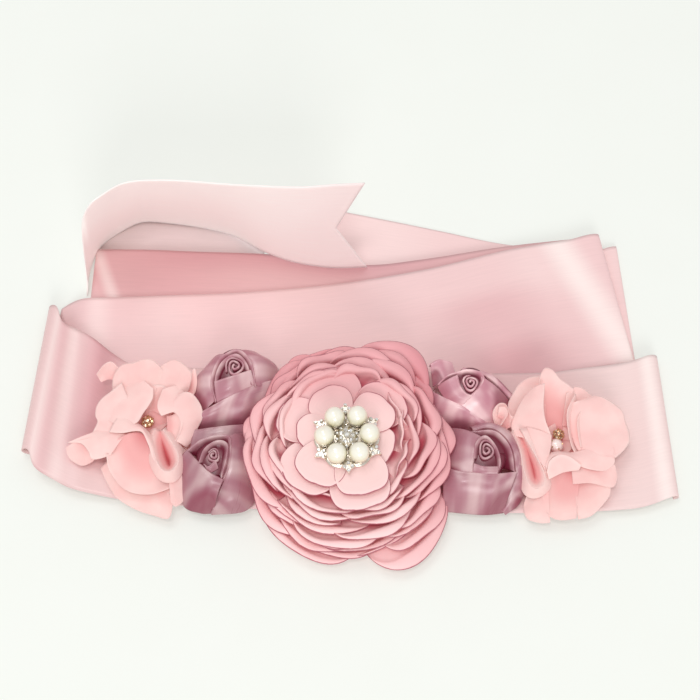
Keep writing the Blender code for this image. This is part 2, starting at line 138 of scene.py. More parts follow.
# The tail stands on its far edge, from its cut end on the right to where it dives at the left
TAIL = [
    Cross(7.5, 39.2, 4.1, 6.0, 39.3, 68.0),
    Cross(-5.0, 38.6, 4.1, -6.6, 38.6, 68.0),
    Cross(-21.1, 40.7, 4.1, -19.9, 37.4, 68.0),
    Cross(-38.1, 47.1, 4.1, -35.2, 39.1, 66.4),
    Cross(-54.6, 58.6, 1.2, -49.2, 42.8, 62.4),
    Cross(-81.0, 64.4, 0.3, -72.2, 45.6, 61.0),
    Cross(-92.3, 65.4, 0.3, -82.0, 46.0, 60.5),
    Cross(-103.1, 59.6, 0.3, -92.2, 43.8, 61.5),
    Cross(-110.6, 52.4, 0.3, -102.0, 36.0, 62.2),
    Cross(-113.2, 46.4, 0.3, -107.4, 34.1, 55.0),
    Cross(-114.4, 41.0, 0.3, -111.2, 37.2, 42.0),
    Cross(-115.0, 36.6, 0.3, -113.2, 37.6, 29.0),
    Cross(-115.2, 33.0, 0.3, -114.2, 36.4, 17.0),
    Cross(-115.2, 29.6, 0.3, -114.4, 33.6, 8.6),
    Cross(-115.0, 26.6, 0.3, -114.2, 29.6, 3.4),
]
# The layer that shows on the floor in the slot between the tail's foot and the third pass: which of the
# tail's lines it follows, how far it runs past the foot and past each millimetre of the foot's height,
# and its near edge, height, wall and columns across
SLOT_STARTS, SLOT_ENDS = 3, 10
SLOT_BEYOND = 0.8
SLOT_SEEN = 0.55
SLOT_NEAR = 46.5
SLOT_HIGH = 0.12
SLOT_WALL = 0.15
SLOT_COLUMNS = 6

FRONT_CREASES = [
    Crease(21.0, 0.0, 1.0, 1.0, 5.0, 0.5),
    Crease(33.0, 0.0, 0.8, -3.0, 6.0, -0.6),
    Crease(60.0, 0.2, 1.0, 8.0, 9.0, 0.4),
    Crease(226.0, 0.0, 1.0, 3.0, 8.0, 0.5),
    Crease(244.0, 0.1, 1.0, -2.0, 5.0, -0.4),
]
BAND_CREASES = [
    Crease(196.0, 0.0, 0.8, -22.0, 12.0, -0.5),
    Crease(222.0, 0.0, 1.0, 4.0, 7.0, 0.4),
    Crease(60.0, 0.0, 0.7, 14.0, 14.0, 0.25),
]
THIRD_CREASES = [
    Crease(206.0, 0.0, 1.0, -3.0, 5.0, 0.3),
    Crease(120.0, 0.0, 0.6, 12.0, 14.0, -0.2),
]
TAIL_CREASES = [
    Crease(60.0, 0.0, 1.0, 8.0, 12.0, 0.3),
    Crease(118.0, 0.1, 0.8, -10.0, 8.0, -0.3),
]

# A soft band of painted highlight, or of painted shade where the amount is negative, placed as the creases
# are. Unless it says otherwise it runs over the whole width.
PaintedBand = namedtuple("PaintedBand", "along lean wide amount start end", defaults=(-0.2, 1.2))
FRONT_PAINTED_BANDS = [
    PaintedBand(14.5, 0.0, 5.5, 0.34), PaintedBand(21.0, 1.0, 4.5, -0.26), PaintedBand(26.5, 2.0, 4.5, 0.2),
    PaintedBand(43.0, -4.0, 16.0, -0.7, end=0.8), PaintedBand(276.0, 0.0, 6.0, 0.5),
    PaintedBand(266.0, 0.0, 40.0, 0.34), PaintedBand(205.0, 0.0, 40.0, -0.3, end=0.12),
]
BAND_PAINTED_BANDS = [
    PaintedBand(228.0, 20.0, 12.0, 0.7), PaintedBand(185.0, 16.0, 44.0, -0.36, start=0.3),
    PaintedBand(20.0, 4.0, 9.0, 0.26), PaintedBand(48.0, 10.0, 16.0, 0.1, end=0.5),
    PaintedBand(215.0, 20.0, 22.0, 0.16, end=0.4), PaintedBand(196.0, 0.0, 42.0, -0.26, 0.72, 1.3),
]
THIRD_PAINTED_BANDS = [
    PaintedBand(222.0, -26.0, 5.0, 0.6), PaintedBand(120.0, 0.0, 110.0, -0.6, end=0.1),
    PaintedBand(190.0, 0.0, 50.0, -0.3, end=0.4),
]
FOURTH_PAINTED_BANDS = [PaintedBand(128.0, 0.0, 30.0, 0.18)]
TAIL_PAINTED_BANDS = [PaintedBand(0.0, 0.0, 64.0, -0.2)]
SLOT_PAINTED_BANDS = [PaintedBand(84.0, 0.0, 40.0, 0.5)]


def on_front(points):
    """Takes points from the front panel's plane to the belt's plan, both in millimetres."""
    x, y, z = np.asarray(points, float).reshape(-1, 3).T
    c, s = cos(PLANE_TILT), sin(PLANE_TILT)
    return np.stack([x, PLANE_Y + y * c - z * s, PLANE_Z + y * s + z * c], axis=1)


def shift_of_frame():
    """What takes the belt's plan to the frame, read from where the brooch's plate lies."""
    low, high = (np.array(corner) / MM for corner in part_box("brooch_plate"))
    here = on_front([(*BROOCH_CENTRE, BROOCH_SEAT + PLATE_WALL / 2)])[0]
    return (low + high) / 2 - here


SHIFT = shift_of_frame()


def srgb(red, green, blue):
    """A colour as it looks on a screen, 0 to 255, as the linear values that a shader takes."""
    made = []
    for value in (red, green, blue):
        share = value / 255
        made.append(share / 12.92 if share <= 0.04045 else ((share + 0.055) / 1.055) ** 2.4)
    return (*made, 1.0)


def toned(colour, share):
    """A linear colour at a share of its brightness."""
    return (*(share * value for value in colour[:3]), 1.0)


# Cloth

# How uneven threads are drawn out along the cloth, and how dark and bright they make it
SLUB = (60.0, 1400.0, 1.0)
SLUB_VALUES = (0.975, 1.02)


class Shader:
    """A material of nodes round one Principled shader."""

    def __init__(self, name):
        self.material = bpy.data.materials.new(name)
        self.material.use_nodes = True
        self.nodes = self.material.node_tree.nodes
        self.links = self.material.node_tree.links
        self.main = self.nodes["Principled BSDF"]

    def set(self, **values):
        for key, value in values.items():
            self.main.inputs[key.replace("_", " ")].default_value = value

    def node(self, kind, inputs=None, **settings):
        made = self.nodes.new(kind)
        for key, value in settings.items():
            setattr(made, key, value)
        for key, value in (inputs or {}).items():
            if isinstance(value, bpy.types.NodeSocket):
                self.links.new(value, made.inputs[key])
            else:
                made.inputs[key].default_value = value
        return made

    def math(self, operation, first, second=0.0):
        return self.node("ShaderNodeMath", {0: first, 1: second}, operation=operation).outputs[0]

    def ramp(self, value, start, end, low=0.0, high=1.0):
        inputs = {"Value": value, "From Min": start, "From Max": end, "To Min": low, "To Max": high}
        return self.node("ShaderNodeMapRange", inputs, interpolation_type="SMOOTHSTEP").outputs["Result"]

    def mix(self, share, first, second):
        return self.node("ShaderNodeMix", {0: share, 6: first, 7: second}, data_type="RGBA").outputs[2]

    def noise(self, scale, detail, vector, roughness=0.5):
        inputs = {"Scale": scale, "Detail": detail, "Vector": vector, "Roughness": roughness}
        return self.node("ShaderNodeTexNoise", inputs).outputs["Fac"]

    def uv(self):
        return self.node("ShaderNodeUVMap", uv_map="cloth").outputs["UV"]

    def parts(self, vector):
        return self.node("ShaderNodeSeparateXYZ", {0: vector}).outputs

    def scaled(self, vector, scale):
        return self.node("ShaderNodeMapping", {"Vector": vector, "Scale": scale}).outputs["Vector"]

    def place(self):
        return self.node("ShaderNodeTexCoord").outputs["Object"]

    def colour(self, socket):
        self.links.new(socket, self.main.inputs["Base Color"])

    def rough(self, socket):
        self.links.new(socket, self.main.inputs["Roughness"])

    def bump(self, height, distance, strength):
        inputs = {"Height": height, "Distance": distance, "Strength": strength}
        made = self.node("ShaderNodeBump", inputs)
        self.links.new(made.outputs["Normal"], self.main.inputs["Normal"])

    def slub(self, uv):
        return self.noise(1.0, 3.0, self.scaled(uv, SLUB))

    def uneven(self, colour, slub):
        """A colour a little darker and brighter along the threads."""
        value = self.ramp(slub, 0.2, 0.8, *SLUB_VALUES)
        return self.node("ShaderNodeHueSaturation", {"Color": colour, "Value": value}).outputs["Color"]


# In metres: how far apart the threads lie, how high they stand and how wide a singed edge is. An edge is
# as ragged as a share of its width.
THREAD = 0.00022
THREAD_HEIGHT = 0.00002
EDGE_WIDTH = 0.00034
EDGE_FRAY = 1.3
# How many clouds of a second colour a metre of satin has, and how many notches its edge has
CLOUDS = 9.0
FRAYS = 420.0
# How much smoother and rougher than its mean satin gets along the threads
SMOOTHER, ROUGHER = 0.04, 0.05
# How softly a painted band ends towards an edge of the ribbon, in millimetres
PAINTED_BAND_FADE = 7.0
# How far in from a petal's rim its deeper colour starts and is full, in metres, on most rings and on the
# lowest four, whose petals show less of themselves. It is partly the petals' own deeper colour and partly
# painted shade in the crevices between them.
DEEP_SHADE_FROM_RIM = (0.0034, 0.009)
WIDE_DEEP_SHADE_FROM_RIM = (0.009, 0.024)
WIDE_RINGS = 4
# A tint that paints shade, or light, on one side of a piece: the axis that it grows along, where on it the
# tint starts and is full, in metres, its colour and its share
Tint = namedtuple("Tint", "axis start full colour share")


def shine(made, u, v, painted_bands):
    """How strongly a few painted bands across the ribbon show at a place."""
    total = 0.0
    fade = PAINTED_BAND_FADE * MM
    for painted_band in painted_bands:
        lean = made.math("MULTIPLY", v, painted_band.lean / RIBBON_WIDTH)
        off = made.math("SUBTRACT", made.math("SUBTRACT", u, painted_band.along * MM), lean)
        bell = made.ramp(made.math("ABSOLUTE", off), 0.0, painted_band.wide * MM, abs(painted_band.amount), 0.0)
        start, end = painted_band.start * RIBBON_WIDTH * MM, painted_band.end * RIBBON_WIDTH * MM
        first = made.ramp(v, start - fade, start + fade)
        last = made.ramp(v, end - fade, end + fade, 1.0, 0.0)
        inside = made.math("MULTIPLY", made.math("MULTIPLY", bell, first), last)
        total = made.math("ADD", inside, total)
    return total


def satin(name, face, shade, rough, sheen, painted_bands=(), tints=(), edge=None, deep=None,
          deep_from=DEEP_SHADE_FROM_RIM, glow=None, glowing=0.03):
    """Satin: a smooth face of fine threads, its colour a little uneven. UV is in metres, V from an edge.

    With an edge colour, the cloth's rim is singed. With a deep colour, it is darker far from its rim: partly
    its own deeper colour, partly painted shade. Its painted bands are soft bands of painted highlight and of
    painted shade, its tints paint shade and light on one side of it, and a glow colour gives it a faint
    painted light."""
    made = Shader(name)
    uv = made.uv()
    u, v, _ = made.parts(uv)
    out = made.mix(made.ramp(made.noise(CLOUDS, 2.0, made.place()), 0.3, 0.7), face, shade)
    slub = made.slub(uv)
    # Soft bands of painted highlight and of painted shade
    bright = [painted_band for painted_band in painted_bands if painted_band.amount > 0]
    dark = [painted_band for painted_band in painted_bands if painted_band.amount < 0]
    for bands, colour in ((bright, RIBBON_PAINTED_HIGHLIGHT), (dark, RIBBON_PAINTED_SHADE)):
        if bands:
            out = made.mix(shine(made, u, v, bands), out, colour)
    # Painted shade, and painted light, on one side of the piece
    for tint in tints:
        at = made.parts(made.place())[tint.axis]
        out = made.mix(made.ramp(at, tint.start, tint.full, 0.0, tint.share), out, tint.colour)
    out = made.uneven(out, slub)
    # Darker far from the rim: partly the cloth's own deeper colour, partly painted shade
    if deep is not None:
        out = made.mix(made.ramp(v, *deep_from), out, deep)
    if edge is not None:
        fray = made.math("MULTIPLY", made.noise(FRAYS, 2.0, uv), EDGE_FRAY * EDGE_WIDTH)
        rim = made.ramp(made.math("SUBTRACT", v, fray), 0.0, EDGE_WIDTH, 1.0, 0.0)
        out = made.mix(rim, out, edge)
    made.colour(out)
    made.rough(made.ramp(slub, 0.2, 0.8, rough - SMOOTHER, rough + ROUGHER))
    across = made.scaled(uv, (0.0, 1 / THREAD / 2, 0.0))
    threads = made.node("ShaderNodeTexWave", {"Vector": across, "Scale": 1.0})
    made.bump(threads.outputs["Fac"], THREAD_HEIGHT, 0.5)
    made.set(Sheen_Weight=sheen, Sheen_Roughness=0.35, Specular_IOR_Level=0.5)
    # A faint painted glow: light painted into the cloth where the lamps give it too little
    if glow is not None:
        made.set(Emission_Color=glow, Emission_Strength=glowing)
    return made.material


def ribbon_cloth(name, face, shade, painted_bands=()):
    return satin(name, face, shade, 0.36, 0.2, painted_bands)


RIBBON_FACE = srgb(240, 204, 203)
RIBBON_SHADE = srgb(236, 198, 198)
# The front pass's colour is a little darker than the ribbon's: painted shade, offsetting the strong light on
# it
FRONT_FACE = srgb(234, 200, 198)
FRONT_SHADE = srgb(230, 194, 193)
# The colours of the ribbon's painted bands: a painted highlight and a painted shade
RIBBON_PAINTED_HIGHLIGHT = srgb(255, 240, 235)
RIBBON_PAINTED_SHADE = srgb(206, 138, 146)
# The third pass is painted darker than the rest of the ribbon, as the shade under the tail
THIRD_SHADED_FACE = srgb(226, 180, 180)
# The fourth pass's clouds are lighter than the ribbon's: painted light
FOURTH_SHADE = srgb(244, 212, 210)
# The tail shows the ribbon's paler back. Its face is painted paler still, and given a faint painted light,
# for the light that its upright face misses
TAIL_FACE = srgb(255, 249, 246)
TAIL_SHADE = srgb(254, 243, 240)
TAIL_PAINTED_LIGHT = srgb(255, 232, 228)
# The slot layer: the tail's paler back, painted greyer and darker as the shade under the tail, its left end
# painted lighter
SLOT_SHADED_FACE = srgb(228, 209, 208)
PETAL_INNER = srgb(250, 214, 211)
PETAL_OUTER = srgb(254, 199, 201)
PETAL_EDGE = srgb(172, 92, 106)
# Petals are deeper in colour far from their rims: partly their own colour, partly painted shade in the
# crevices
PETAL_DEEP_AND_SHADE = srgb(190, 78, 94)
# A faint painted glow of pink on the petals, standing in for light bounced between them
PETAL_PAINTED_BOUNCE = srgb(255, 92, 112)
# Painted shade on the far side and the sides of the flower, and painted light near the viewer
PETAL_FAR_SHADE = srgb(214, 128, 138)
PETAL_NEAR_LIGHT = srgb(255, 228, 224)
# A rosette's satin lies between painted highlight and painted shade in soft bands. It gets painted shade
# towards its foot and inside its folds, and a faint painted glow of wine red
ROSE_FACE = srgb(216, 184, 185)
ROSE_SHADE = srgb(172, 118, 130)
ROSE_FOOT_SHADE = srgb(124, 42, 66)
ROSE_FOLD_SHADE = srgb(98, 34, 50)
ROSE_PAINTED_BOUNCE = srgb(150, 40, 64)
CHIFFON_FACE = srgb(253, 221, 216)
CHIFFON_BLUSH = srgb(251, 211, 207)
CHIFFON_RIM = srgb(255, 236, 230)
# Painted shade in the chiffon's folds, deeper painted shade in its pockets, and a faint painted glow
CHIFFON_FOLD_SHADE = srgb(245, 184, 182)
CHIFFON_POCKET_SHADE = srgb(206, 84, 92)
CHIFFON_PAINTED_GLOW = srgb(255, 176, 168)

ribbon_satin = ribbon_cloth("ribbon_satin", RIBBON_FACE, RIBBON_SHADE)
front_satin = ribbon_cloth("ribbon_satin_front", FRONT_FACE, FRONT_SHADE, FRONT_PAINTED_BANDS)
band_satin = ribbon_cloth("ribbon_satin_band", RIBBON_FACE, RIBBON_SHADE, BAND_PAINTED_BANDS)
third_satin = ribbon_cloth("ribbon_satin_third", THIRD_SHADED_FACE, THIRD_SHADED_FACE, THIRD_PAINTED_BANDS)
fourth_satin = ribbon_cloth("ribbon_satin_fourth", RIBBON_FACE, FOURTH_SHADE, FOURTH_PAINTED_BANDS)
tail_satin = satin("tail_satin", TAIL_FACE, TAIL_SHADE, 0.5, 0.3, TAIL_PAINTED_BANDS, glow=TAIL_PAINTED_LIGHT, glowing=0.07)
slot_satin = satin("ribbon_satin_slot", SLOT_SHADED_FACE, SLOT_SHADED_FACE, 0.5, 0.2, SLOT_PAINTED_BANDS)


# Meshes

# A patch of cloth: rows by columns of points, and as many UV pairs
Patch = namedtuple("Patch", "points uv")


def add_mesh(name, points, faces, pairs, smooth, material, node):
    """One piece from points in the belt's plan, in millimetres, riding on the belt."""
    mesh = bpy.data.meshes.new(name)
    mesh.from_pydata(((points + SHIFT) * MM).tolist(), [], faces)
    mesh.uv_layers.new(name="cloth").data.foreach_set("uv", np.asarray(pairs, float).reshape(-1))
    mesh.polygons.foreach_set("use_smooth", smooth)
    mesh.materials.append(material)
    thing = bpy.data.objects.new(name, mesh)
    bpy.context.scene.collection.objects.link(thing)
    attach(thing, "root")
    if node:
        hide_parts(node)
    return thing


def add_cloth(name, patches, material, node, wall):
    """One piece of cloth from patches, with its wall."""
    faces = []
    count = 0
    for patch in patches:
        rows, columns = patch.points.shape[:2]
        i, j = np.meshgrid(np.arange(rows - 1), np.arange(columns - 1), indexing="ij")
        corner = (count + i * columns + j).reshape(-1)
        faces.append(np.stack([corner, corner + columns, corner + columns + 1, corner + 1], axis=1))
        count += rows * columns
    faces = np.concatenate(faces)
    points = np.concatenate([patch.points.reshape(-1, 3) for patch in patches])
    pairs = np.concatenate([patch.uv.reshape(-1, 2) for patch in patches])[faces.reshape(-1)]
    smooth = [True] * len(faces)
    thing = add_mesh(name, points, faces.tolist(), pairs, smooth, material, node)
    solid = thing.modifiers.new("wall", "SOLIDIFY")
    solid.thickness = wall * MM
    solid.offset = 0.0
    return thing


def flat_area(patches):
    """Area of patches in square metres."""
    total = 0.0
    for patch in patches:
        along = np.diff(patch.points, axis=0)[:, :-1]
        across = np.diff(patch.points, axis=1)[:-1]
        total += np.linalg.norm(np.cross(along, across), axis=2).sum()
    return total * MM * MM


def cut_strip(patches, width):
    """The length in metres of a folded strip of the width given, as long as its area asks for."""
    length = flat_area(patches) / (width * MM)
    return length


def cut_ribbon(thing, patches):
    length = cut_strip(patches, RIBBON_WIDTH)
    print("cut", thing.name, round(length, 3), "m")


def spline(knots, count):
    """Smooth points through rows of numbers: Catmull and Rom's cubic."""
    knots = np.asarray(knots, float)
    padded = np.concatenate([2 * knots[:1] - knots[1:2], knots, 2 * knots[-1:] - knots[-2:-1]])
    at = np.linspace(0, len(knots) - 1, count)
    i = np.minimum(at.astype(int), len(knots) - 2)
    t = (at - i)[:, None]
    a, b, c, d = (padded[i + k] for k in range(4))
    return 0.5 * (2 * b + (c - a) * t + (2 * a - 5 * b + 4 * c - d) * t**2 + (3 * b - a - 3 * c + d) * t**3)


def run_of(line):
    """How far along a line of points each of them lies."""
    return np.concatenate([[0.0], np.cumsum(np.linalg.norm(np.diff(line, axis=0), axis=1))])


def turned_points(x, y, radius, angle, high, long=1.0):
    """Points round a middle in the front panel's plane, on circles or on ovals that are longer."""
    return np.stack([x + radius * np.cos(angle), y + radius * long * np.sin(angle), high], axis=2)


def front_patch(points, uv):
    """A patch from points in the front panel's plane, and UV in millimetres."""
    return Patch(on_front(points).reshape(points.shape), uv * MM)


# Ribbon


def even_slopes(rows, gaps):
    """Slopes at the rows that let no coordinate run past its neighbours between two rows."""
    rates = np.diff(rows, axis=0) / gaps[:, None, None]
    slopes = np.concatenate([rates[:1], np.zeros_like(rows[2:]), rates[-1:]])
    before, after = rates[:-1], rates[1:]
    agree = before * after > 0
    slopes[1:-1][agree] = (2 * before * after / (before + after + (~agree)))[agree]
    return slopes


def hermite(start, end, leave, arrive, t):
    """The point a share t of the way from one to another, with the slopes that it leaves and arrives by."""
    s = 1.0 - t
    return (1 + 2 * t) * s * s * start + t * s * s * leave + (3 - 2 * t) * t * t * end - t * t * s * arrive


def smooth_line(knots):
    """Cubic interpolation through rows of points, spaced by the length between the rows."""
    rows = np.asarray(knots, float)
    gaps = np.linalg.norm(np.diff(rows, axis=0), axis=2).mean(axis=1)
    slopes = even_slopes(rows, gaps)
    made = []
    for i, gap in enumerate(gaps):
        steps = max(1, round(gap / STEP_ALONG))
        for step in range(steps):
            made.append(hermite(rows[i], rows[i + 1], slopes[i] * gap, slopes[i + 1] * gap, step / steps))
    made.append(rows[-1])
    return np.array(made)


def ends_of(crosses):
    """The far and the near point of each line across the ribbon."""
    return [((c.x_far, c.y_far, c.z_far), (c.x_near, c.y_near, c.z_near)) for c in crosses]


def fold_rows(fold, upwards=False):
    """Half a turn of the ribbon round its fold, from the layer over it to the one under it, or upwards."""
    ends = ((fold.x_far, fold.y_far, fold.z_over_far), (fold.x_near, fold.y_near, fold.z_over_near))
    rows = []
    for turn in np.linspace(pi / 2, -pi / 2, FOLD_TURNS):
        row = []
        for x, y, over in ends:
            radius = (over - fold.z_under) / 2
            z = fold.z_under + radius * (1 + sin(turn))
            row.append((x - fold.out * radius * (1 - cos(turn)), y, z))
        rows.append(row)
    return rows[::-1] if upwards else rows


def ribbon_patch(knots, creases=(), notch=0.0):
    """A stretch of ribbon through its cross lines, with its creases. A notch cuts its first end to a V."""
    lines = smooth_line(knots)
    for _ in range(SOFTENINGS):
        lines[1:-1] = (lines[:-2] + 2 * lines[1:-1] + lines[2:]) / 4
    along = run_of(lines.mean(axis=1))
    share = np.linspace(0.0, 1.0, len(lines))
    side = np.linspace(0.0, 1.0, ACROSS + 1)
    points = np.empty((len(lines), ACROSS + 1, 3))
    run = np.empty((len(lines), ACROSS + 1))
    for j, at in enumerate(side):
        line = lines[:, 0] * (1 - at) + lines[:, 1] * at
        cut = notch / along[-1] * (1 - abs(2 * at - 1))
        taken = cut + (1 - cut) * share
        for k in range(3):
            points[:, j, k] = np.interp(taken, share, line[:, k])
        run[:, j] = np.interp(taken, share, along)
    lift = np.zeros_like(run)
    for crease in creases:
        off = (run - crease.along - crease.lean * side) / crease.wide
        middle, half = (crease.start + crease.end) / 2, (crease.end - crease.start) / 2
        fade = 1 / (1 + np.exp((np.abs(side - middle) - half) / CREASE_FADE))
        lift += crease.deep * np.exp(-(off**2)) * fade
    normal = np.cross(np.gradient(points, axis=1), np.gradient(points, axis=0))
    normal /= np.maximum(np.linalg.norm(normal, axis=2, keepdims=True), 1e-9)
    uv = np.stack([run, np.broadcast_to(side * RIBBON_WIDTH, run.shape)], axis=2) * MM
    return Patch(points + normal * lift[..., None], uv)


def add_ribbon(name, knots, creases, cloth, notch=0.0):
    patches = [ribbon_patch(knots, creases, notch)]
    made = add_cloth(name + "_panel", patches, cloth, "ribbon_" + name, SATIN_WALL)
    cut_ribbon(made, patches)


def add_fourth():
    """The fourth pass, of which only what shows is built."""
    patches = [ribbon_patch(ends_of([FOURTH_RETURN]) + fold_rows(FOURTH_FOLD) + ends_of(FOURTH))]
    made = add_cloth("fourth_panel", patches, fourth_satin, "ribbon_fourth", SATIN_WALL)


def make_ribbon():
    front = fold_rows(LEFT_FOLD, upwards=True) + ends_of(FRONT) + fold_rows(RIGHT_FOLD)
    band = ends_of(BAND) + fold_rows(BAND_FOLD)
    third = ends_of(THIRD) + fold_rows(THIRD_FOLD) + ends_of([THIRD_RETURN])
    add_ribbon("front", front, FRONT_CREASES, front_satin)
    add_ribbon("band", band, BAND_CREASES, band_satin)
    add_ribbon("third", third, THIRD_CREASES, third_satin)
    add_fourth()
    add_ribbon("tail", ends_of(TAIL), TAIL_CREASES, tail_satin, TAIL_NOTCH)


def make_slot_layer():
    """The strip of floor-high ribbon that shows behind the tail's foot, its colour painted in shade."""
    foot = smooth_line(ends_of(TAIL[SLOT_STARTS:SLOT_ENDS]))[:, 0]
    foot[:, 1] += SLOT_BEYOND + SLOT_SEEN * foot[:, 2]
    share = np.linspace(0.0, 1.0, SLOT_COLUMNS + 1)
    y = foot[:, 1:2] * (1 - share) + SLOT_NEAR * share
    x = np.broadcast_to(foot[:, :1], y.shape)
    uv = np.stack([foot[0, 0] - x, y - SLOT_NEAR], axis=2) * MM
    patch = Patch(np.stack([x, y, np.full_like(y, SLOT_HIGH)], axis=2), uv)
    made = add_cloth("slot_layer", [patch], slot_satin, None, SLOT_WALL)


# Main flower

# How many petals a ring has, how much higher than the last a ring stands, and how high the first one does
PETALS_A_RING = 8
PETAL_STEP = 2.25
FIRST_HUB = 1.25
# Half the width and half the length of a ring of petals, how high its petals stand, and the width of
# their rolled lips
Ring = namedtuple("Ring", "wide long rise lip")
RINGS = [
    Ring(38.5, 48.6, 5.0, 3.8), Ring(39.5, 47.6, 5.6, 4.2), Ring(41.2, 46.2, 6.2, 4.6),
    Ring(42.0, 44.8, 6.8, 4.8), Ring(41.4, 43.0, 7.0, 4.6), Ring(39.6, 40.4, 6.8, 4.4),
    Ring(37.2, 37.6, 6.2, 4.0), Ring(34.2, 34.6, 5.6, 3.6), Ring(30.8, 31.4, 4.6, 3.0),
]
# The share of its rise and of its lip that a petal keeps near the viewer, how far its wall moves in at the
# far side, and how far out at the near one
NEAR_RISE = 0.42
NEAR_LIP = 0.62
FAR_PULL = 2.2
NEAR_PUSH = -0.8
PETAL_COLUMNS = 38
PETAL_ROWS = 30
PETAL_WALL = 0.3
# How bright the darker clouds on the petals are
PETAL_SHADE = 0.93
# How high over the front panel the flower's painted shade and light are placed round its middle
TINTED_HEIGHT = 12.0
LEAST_LIP = 1.2
# How much of its reach a petal's lip takes up, how strongly its lip, rise and wall waver along it, how far
# its ends pull in, and how far its lip droops
LIP_OF_REACH = 0.4
LIP_WAVER = 0.25
RISE_WAVER = 0.09
WALL_WAVER = 0.3
END_PULL = 2.0
LIP_DROOP = 0.14
# The last rings are flat, and each lobe of theirs lies a little over the one before
FLAT_RINGS = 2
LOBES_A_TURN = 6
LOBE_STEP = 0.22
# A petal: its ring, the way it points, its half-span, how far it reaches past its ring, how much higher
# it stands, how much further out one of its ends lies than the other, and how much higher
Petal = namedtuple("Petal", "ring way span reach lift slant lean")
LONG_PETALS = [
    Petal(0, -50.0, 31.0, 8.4, -1.0, 0.0, 0.0),
    Petal(1, -46.0, 26.0, 5.2, -1.4, 0.0, 0.0),
    Petal(0, -122.0, 36.0, 2.8, -0.6, 0.0, 0.0),
    Petal(1, -146.0, 30.0, 2.6, -0.4, 0.0, 0.0),
    Petal(3, 59.0, 30.0, 4.4, 1.4, 0.5, 0.0),
    Petal(8, 3.0, 24.0, -6.6, 1.4, 0.9, 0.4),
    Petal(8, -24.0, 21.0, -4.2, 0.6, -0.8, 0.0),
    Petal(8, 28.0, 22.0, -5.4, 1.0, 0.6, -0.4),
]
# The section of a petal from the middle of the flower to its lip: how far out as a share of the way to
# its wall, how far past the wall as a share of the lip, and how high as a share of its rise
Cup = namedtuple("Cup", "out lip up")
PETAL_CUP = [
    Cup(0.40, 0.0, 0.0), Cup(0.66, 0.0, 0.0), Cup(0.88, 0.0, 0.03), Cup(0.955, 0.0, 0.2),
    Cup(0.985, 0.0, 0.55), Cup(1.0, 0.0, 0.86), Cup(1.0, 0.3, 1.0), Cup(1.0, 0.7, 1.01),
    Cup(1.0, 1.0, 0.93),
]
# A lobe of the flat rings: its ring, the way it points, its half-span, its reach and how far its rim rises
Lobe = namedtuple("Lobe", "ring way span reach lift")
LOBES = [
    Lobe(9, 112, 46, 29.2, 0.9), Lobe(9, 42, 40, 27.0, 1.6), Lobe(9, 163, 34, 28.6, 1.2),
    Lobe(9, -136, 40, 30.4, 0.8), Lobe(9, -78, 36, 32.2, 0.6),
    Lobe(10, 38, 44, 20.6, 0.3), Lobe(10, 118, 42, 21.6, 0.0), Lobe(10, -24, 40, 19.6, 0.2),
    Lobe(10, 178, 38, 20.0, 0.1), Lobe(10, -127, 40, 25.4, 0.5), Lobe(10, -73, 38, 27.2, 0.7),
]


def petals_of(ring):
    """The overlapping petals of a ring, each a little unlike the next."""
    dice = Random(40 + ring)
    first = dice.uniform(0, 72)
    slant = dice.choice((-1, 1)) * 1.5
    made = []
    for i in range(PETALS_A_RING):
        way = first + 360 / PETALS_A_RING * i + dice.uniform(-9, 9)
        span = dice.uniform(23, 34)
        reach, lift = dice.uniform(-2.2, 1.2), dice.uniform(-1.2, 1.4)
        made.append(Petal(ring, way, span, reach, lift, slant, dice.uniform(-1.6, 1.6)))
    return made + [petal for petal in LONG_PETALS if petal.ring == ring]


def flower_patch(angle, radius, z, a, side, radius_of_uv):
    """A petal from where its points lie round the flower. U runs along its rim, V in from its edges."""
    points = turned_points(*FLOWER_CENTRE, radius, angle, z)
    steps = np.linalg.norm(np.diff(points, axis=0), axis=2)
    from_rim = np.concatenate([np.cumsum(steps[::-1], axis=0)[::-1], np.zeros_like(steps[:1])])
    off = np.minimum(from_rim, (1 - np.abs(a)) * side)
    return front_patch(points, np.stack([angle * radius_of_uv, off], axis=2))


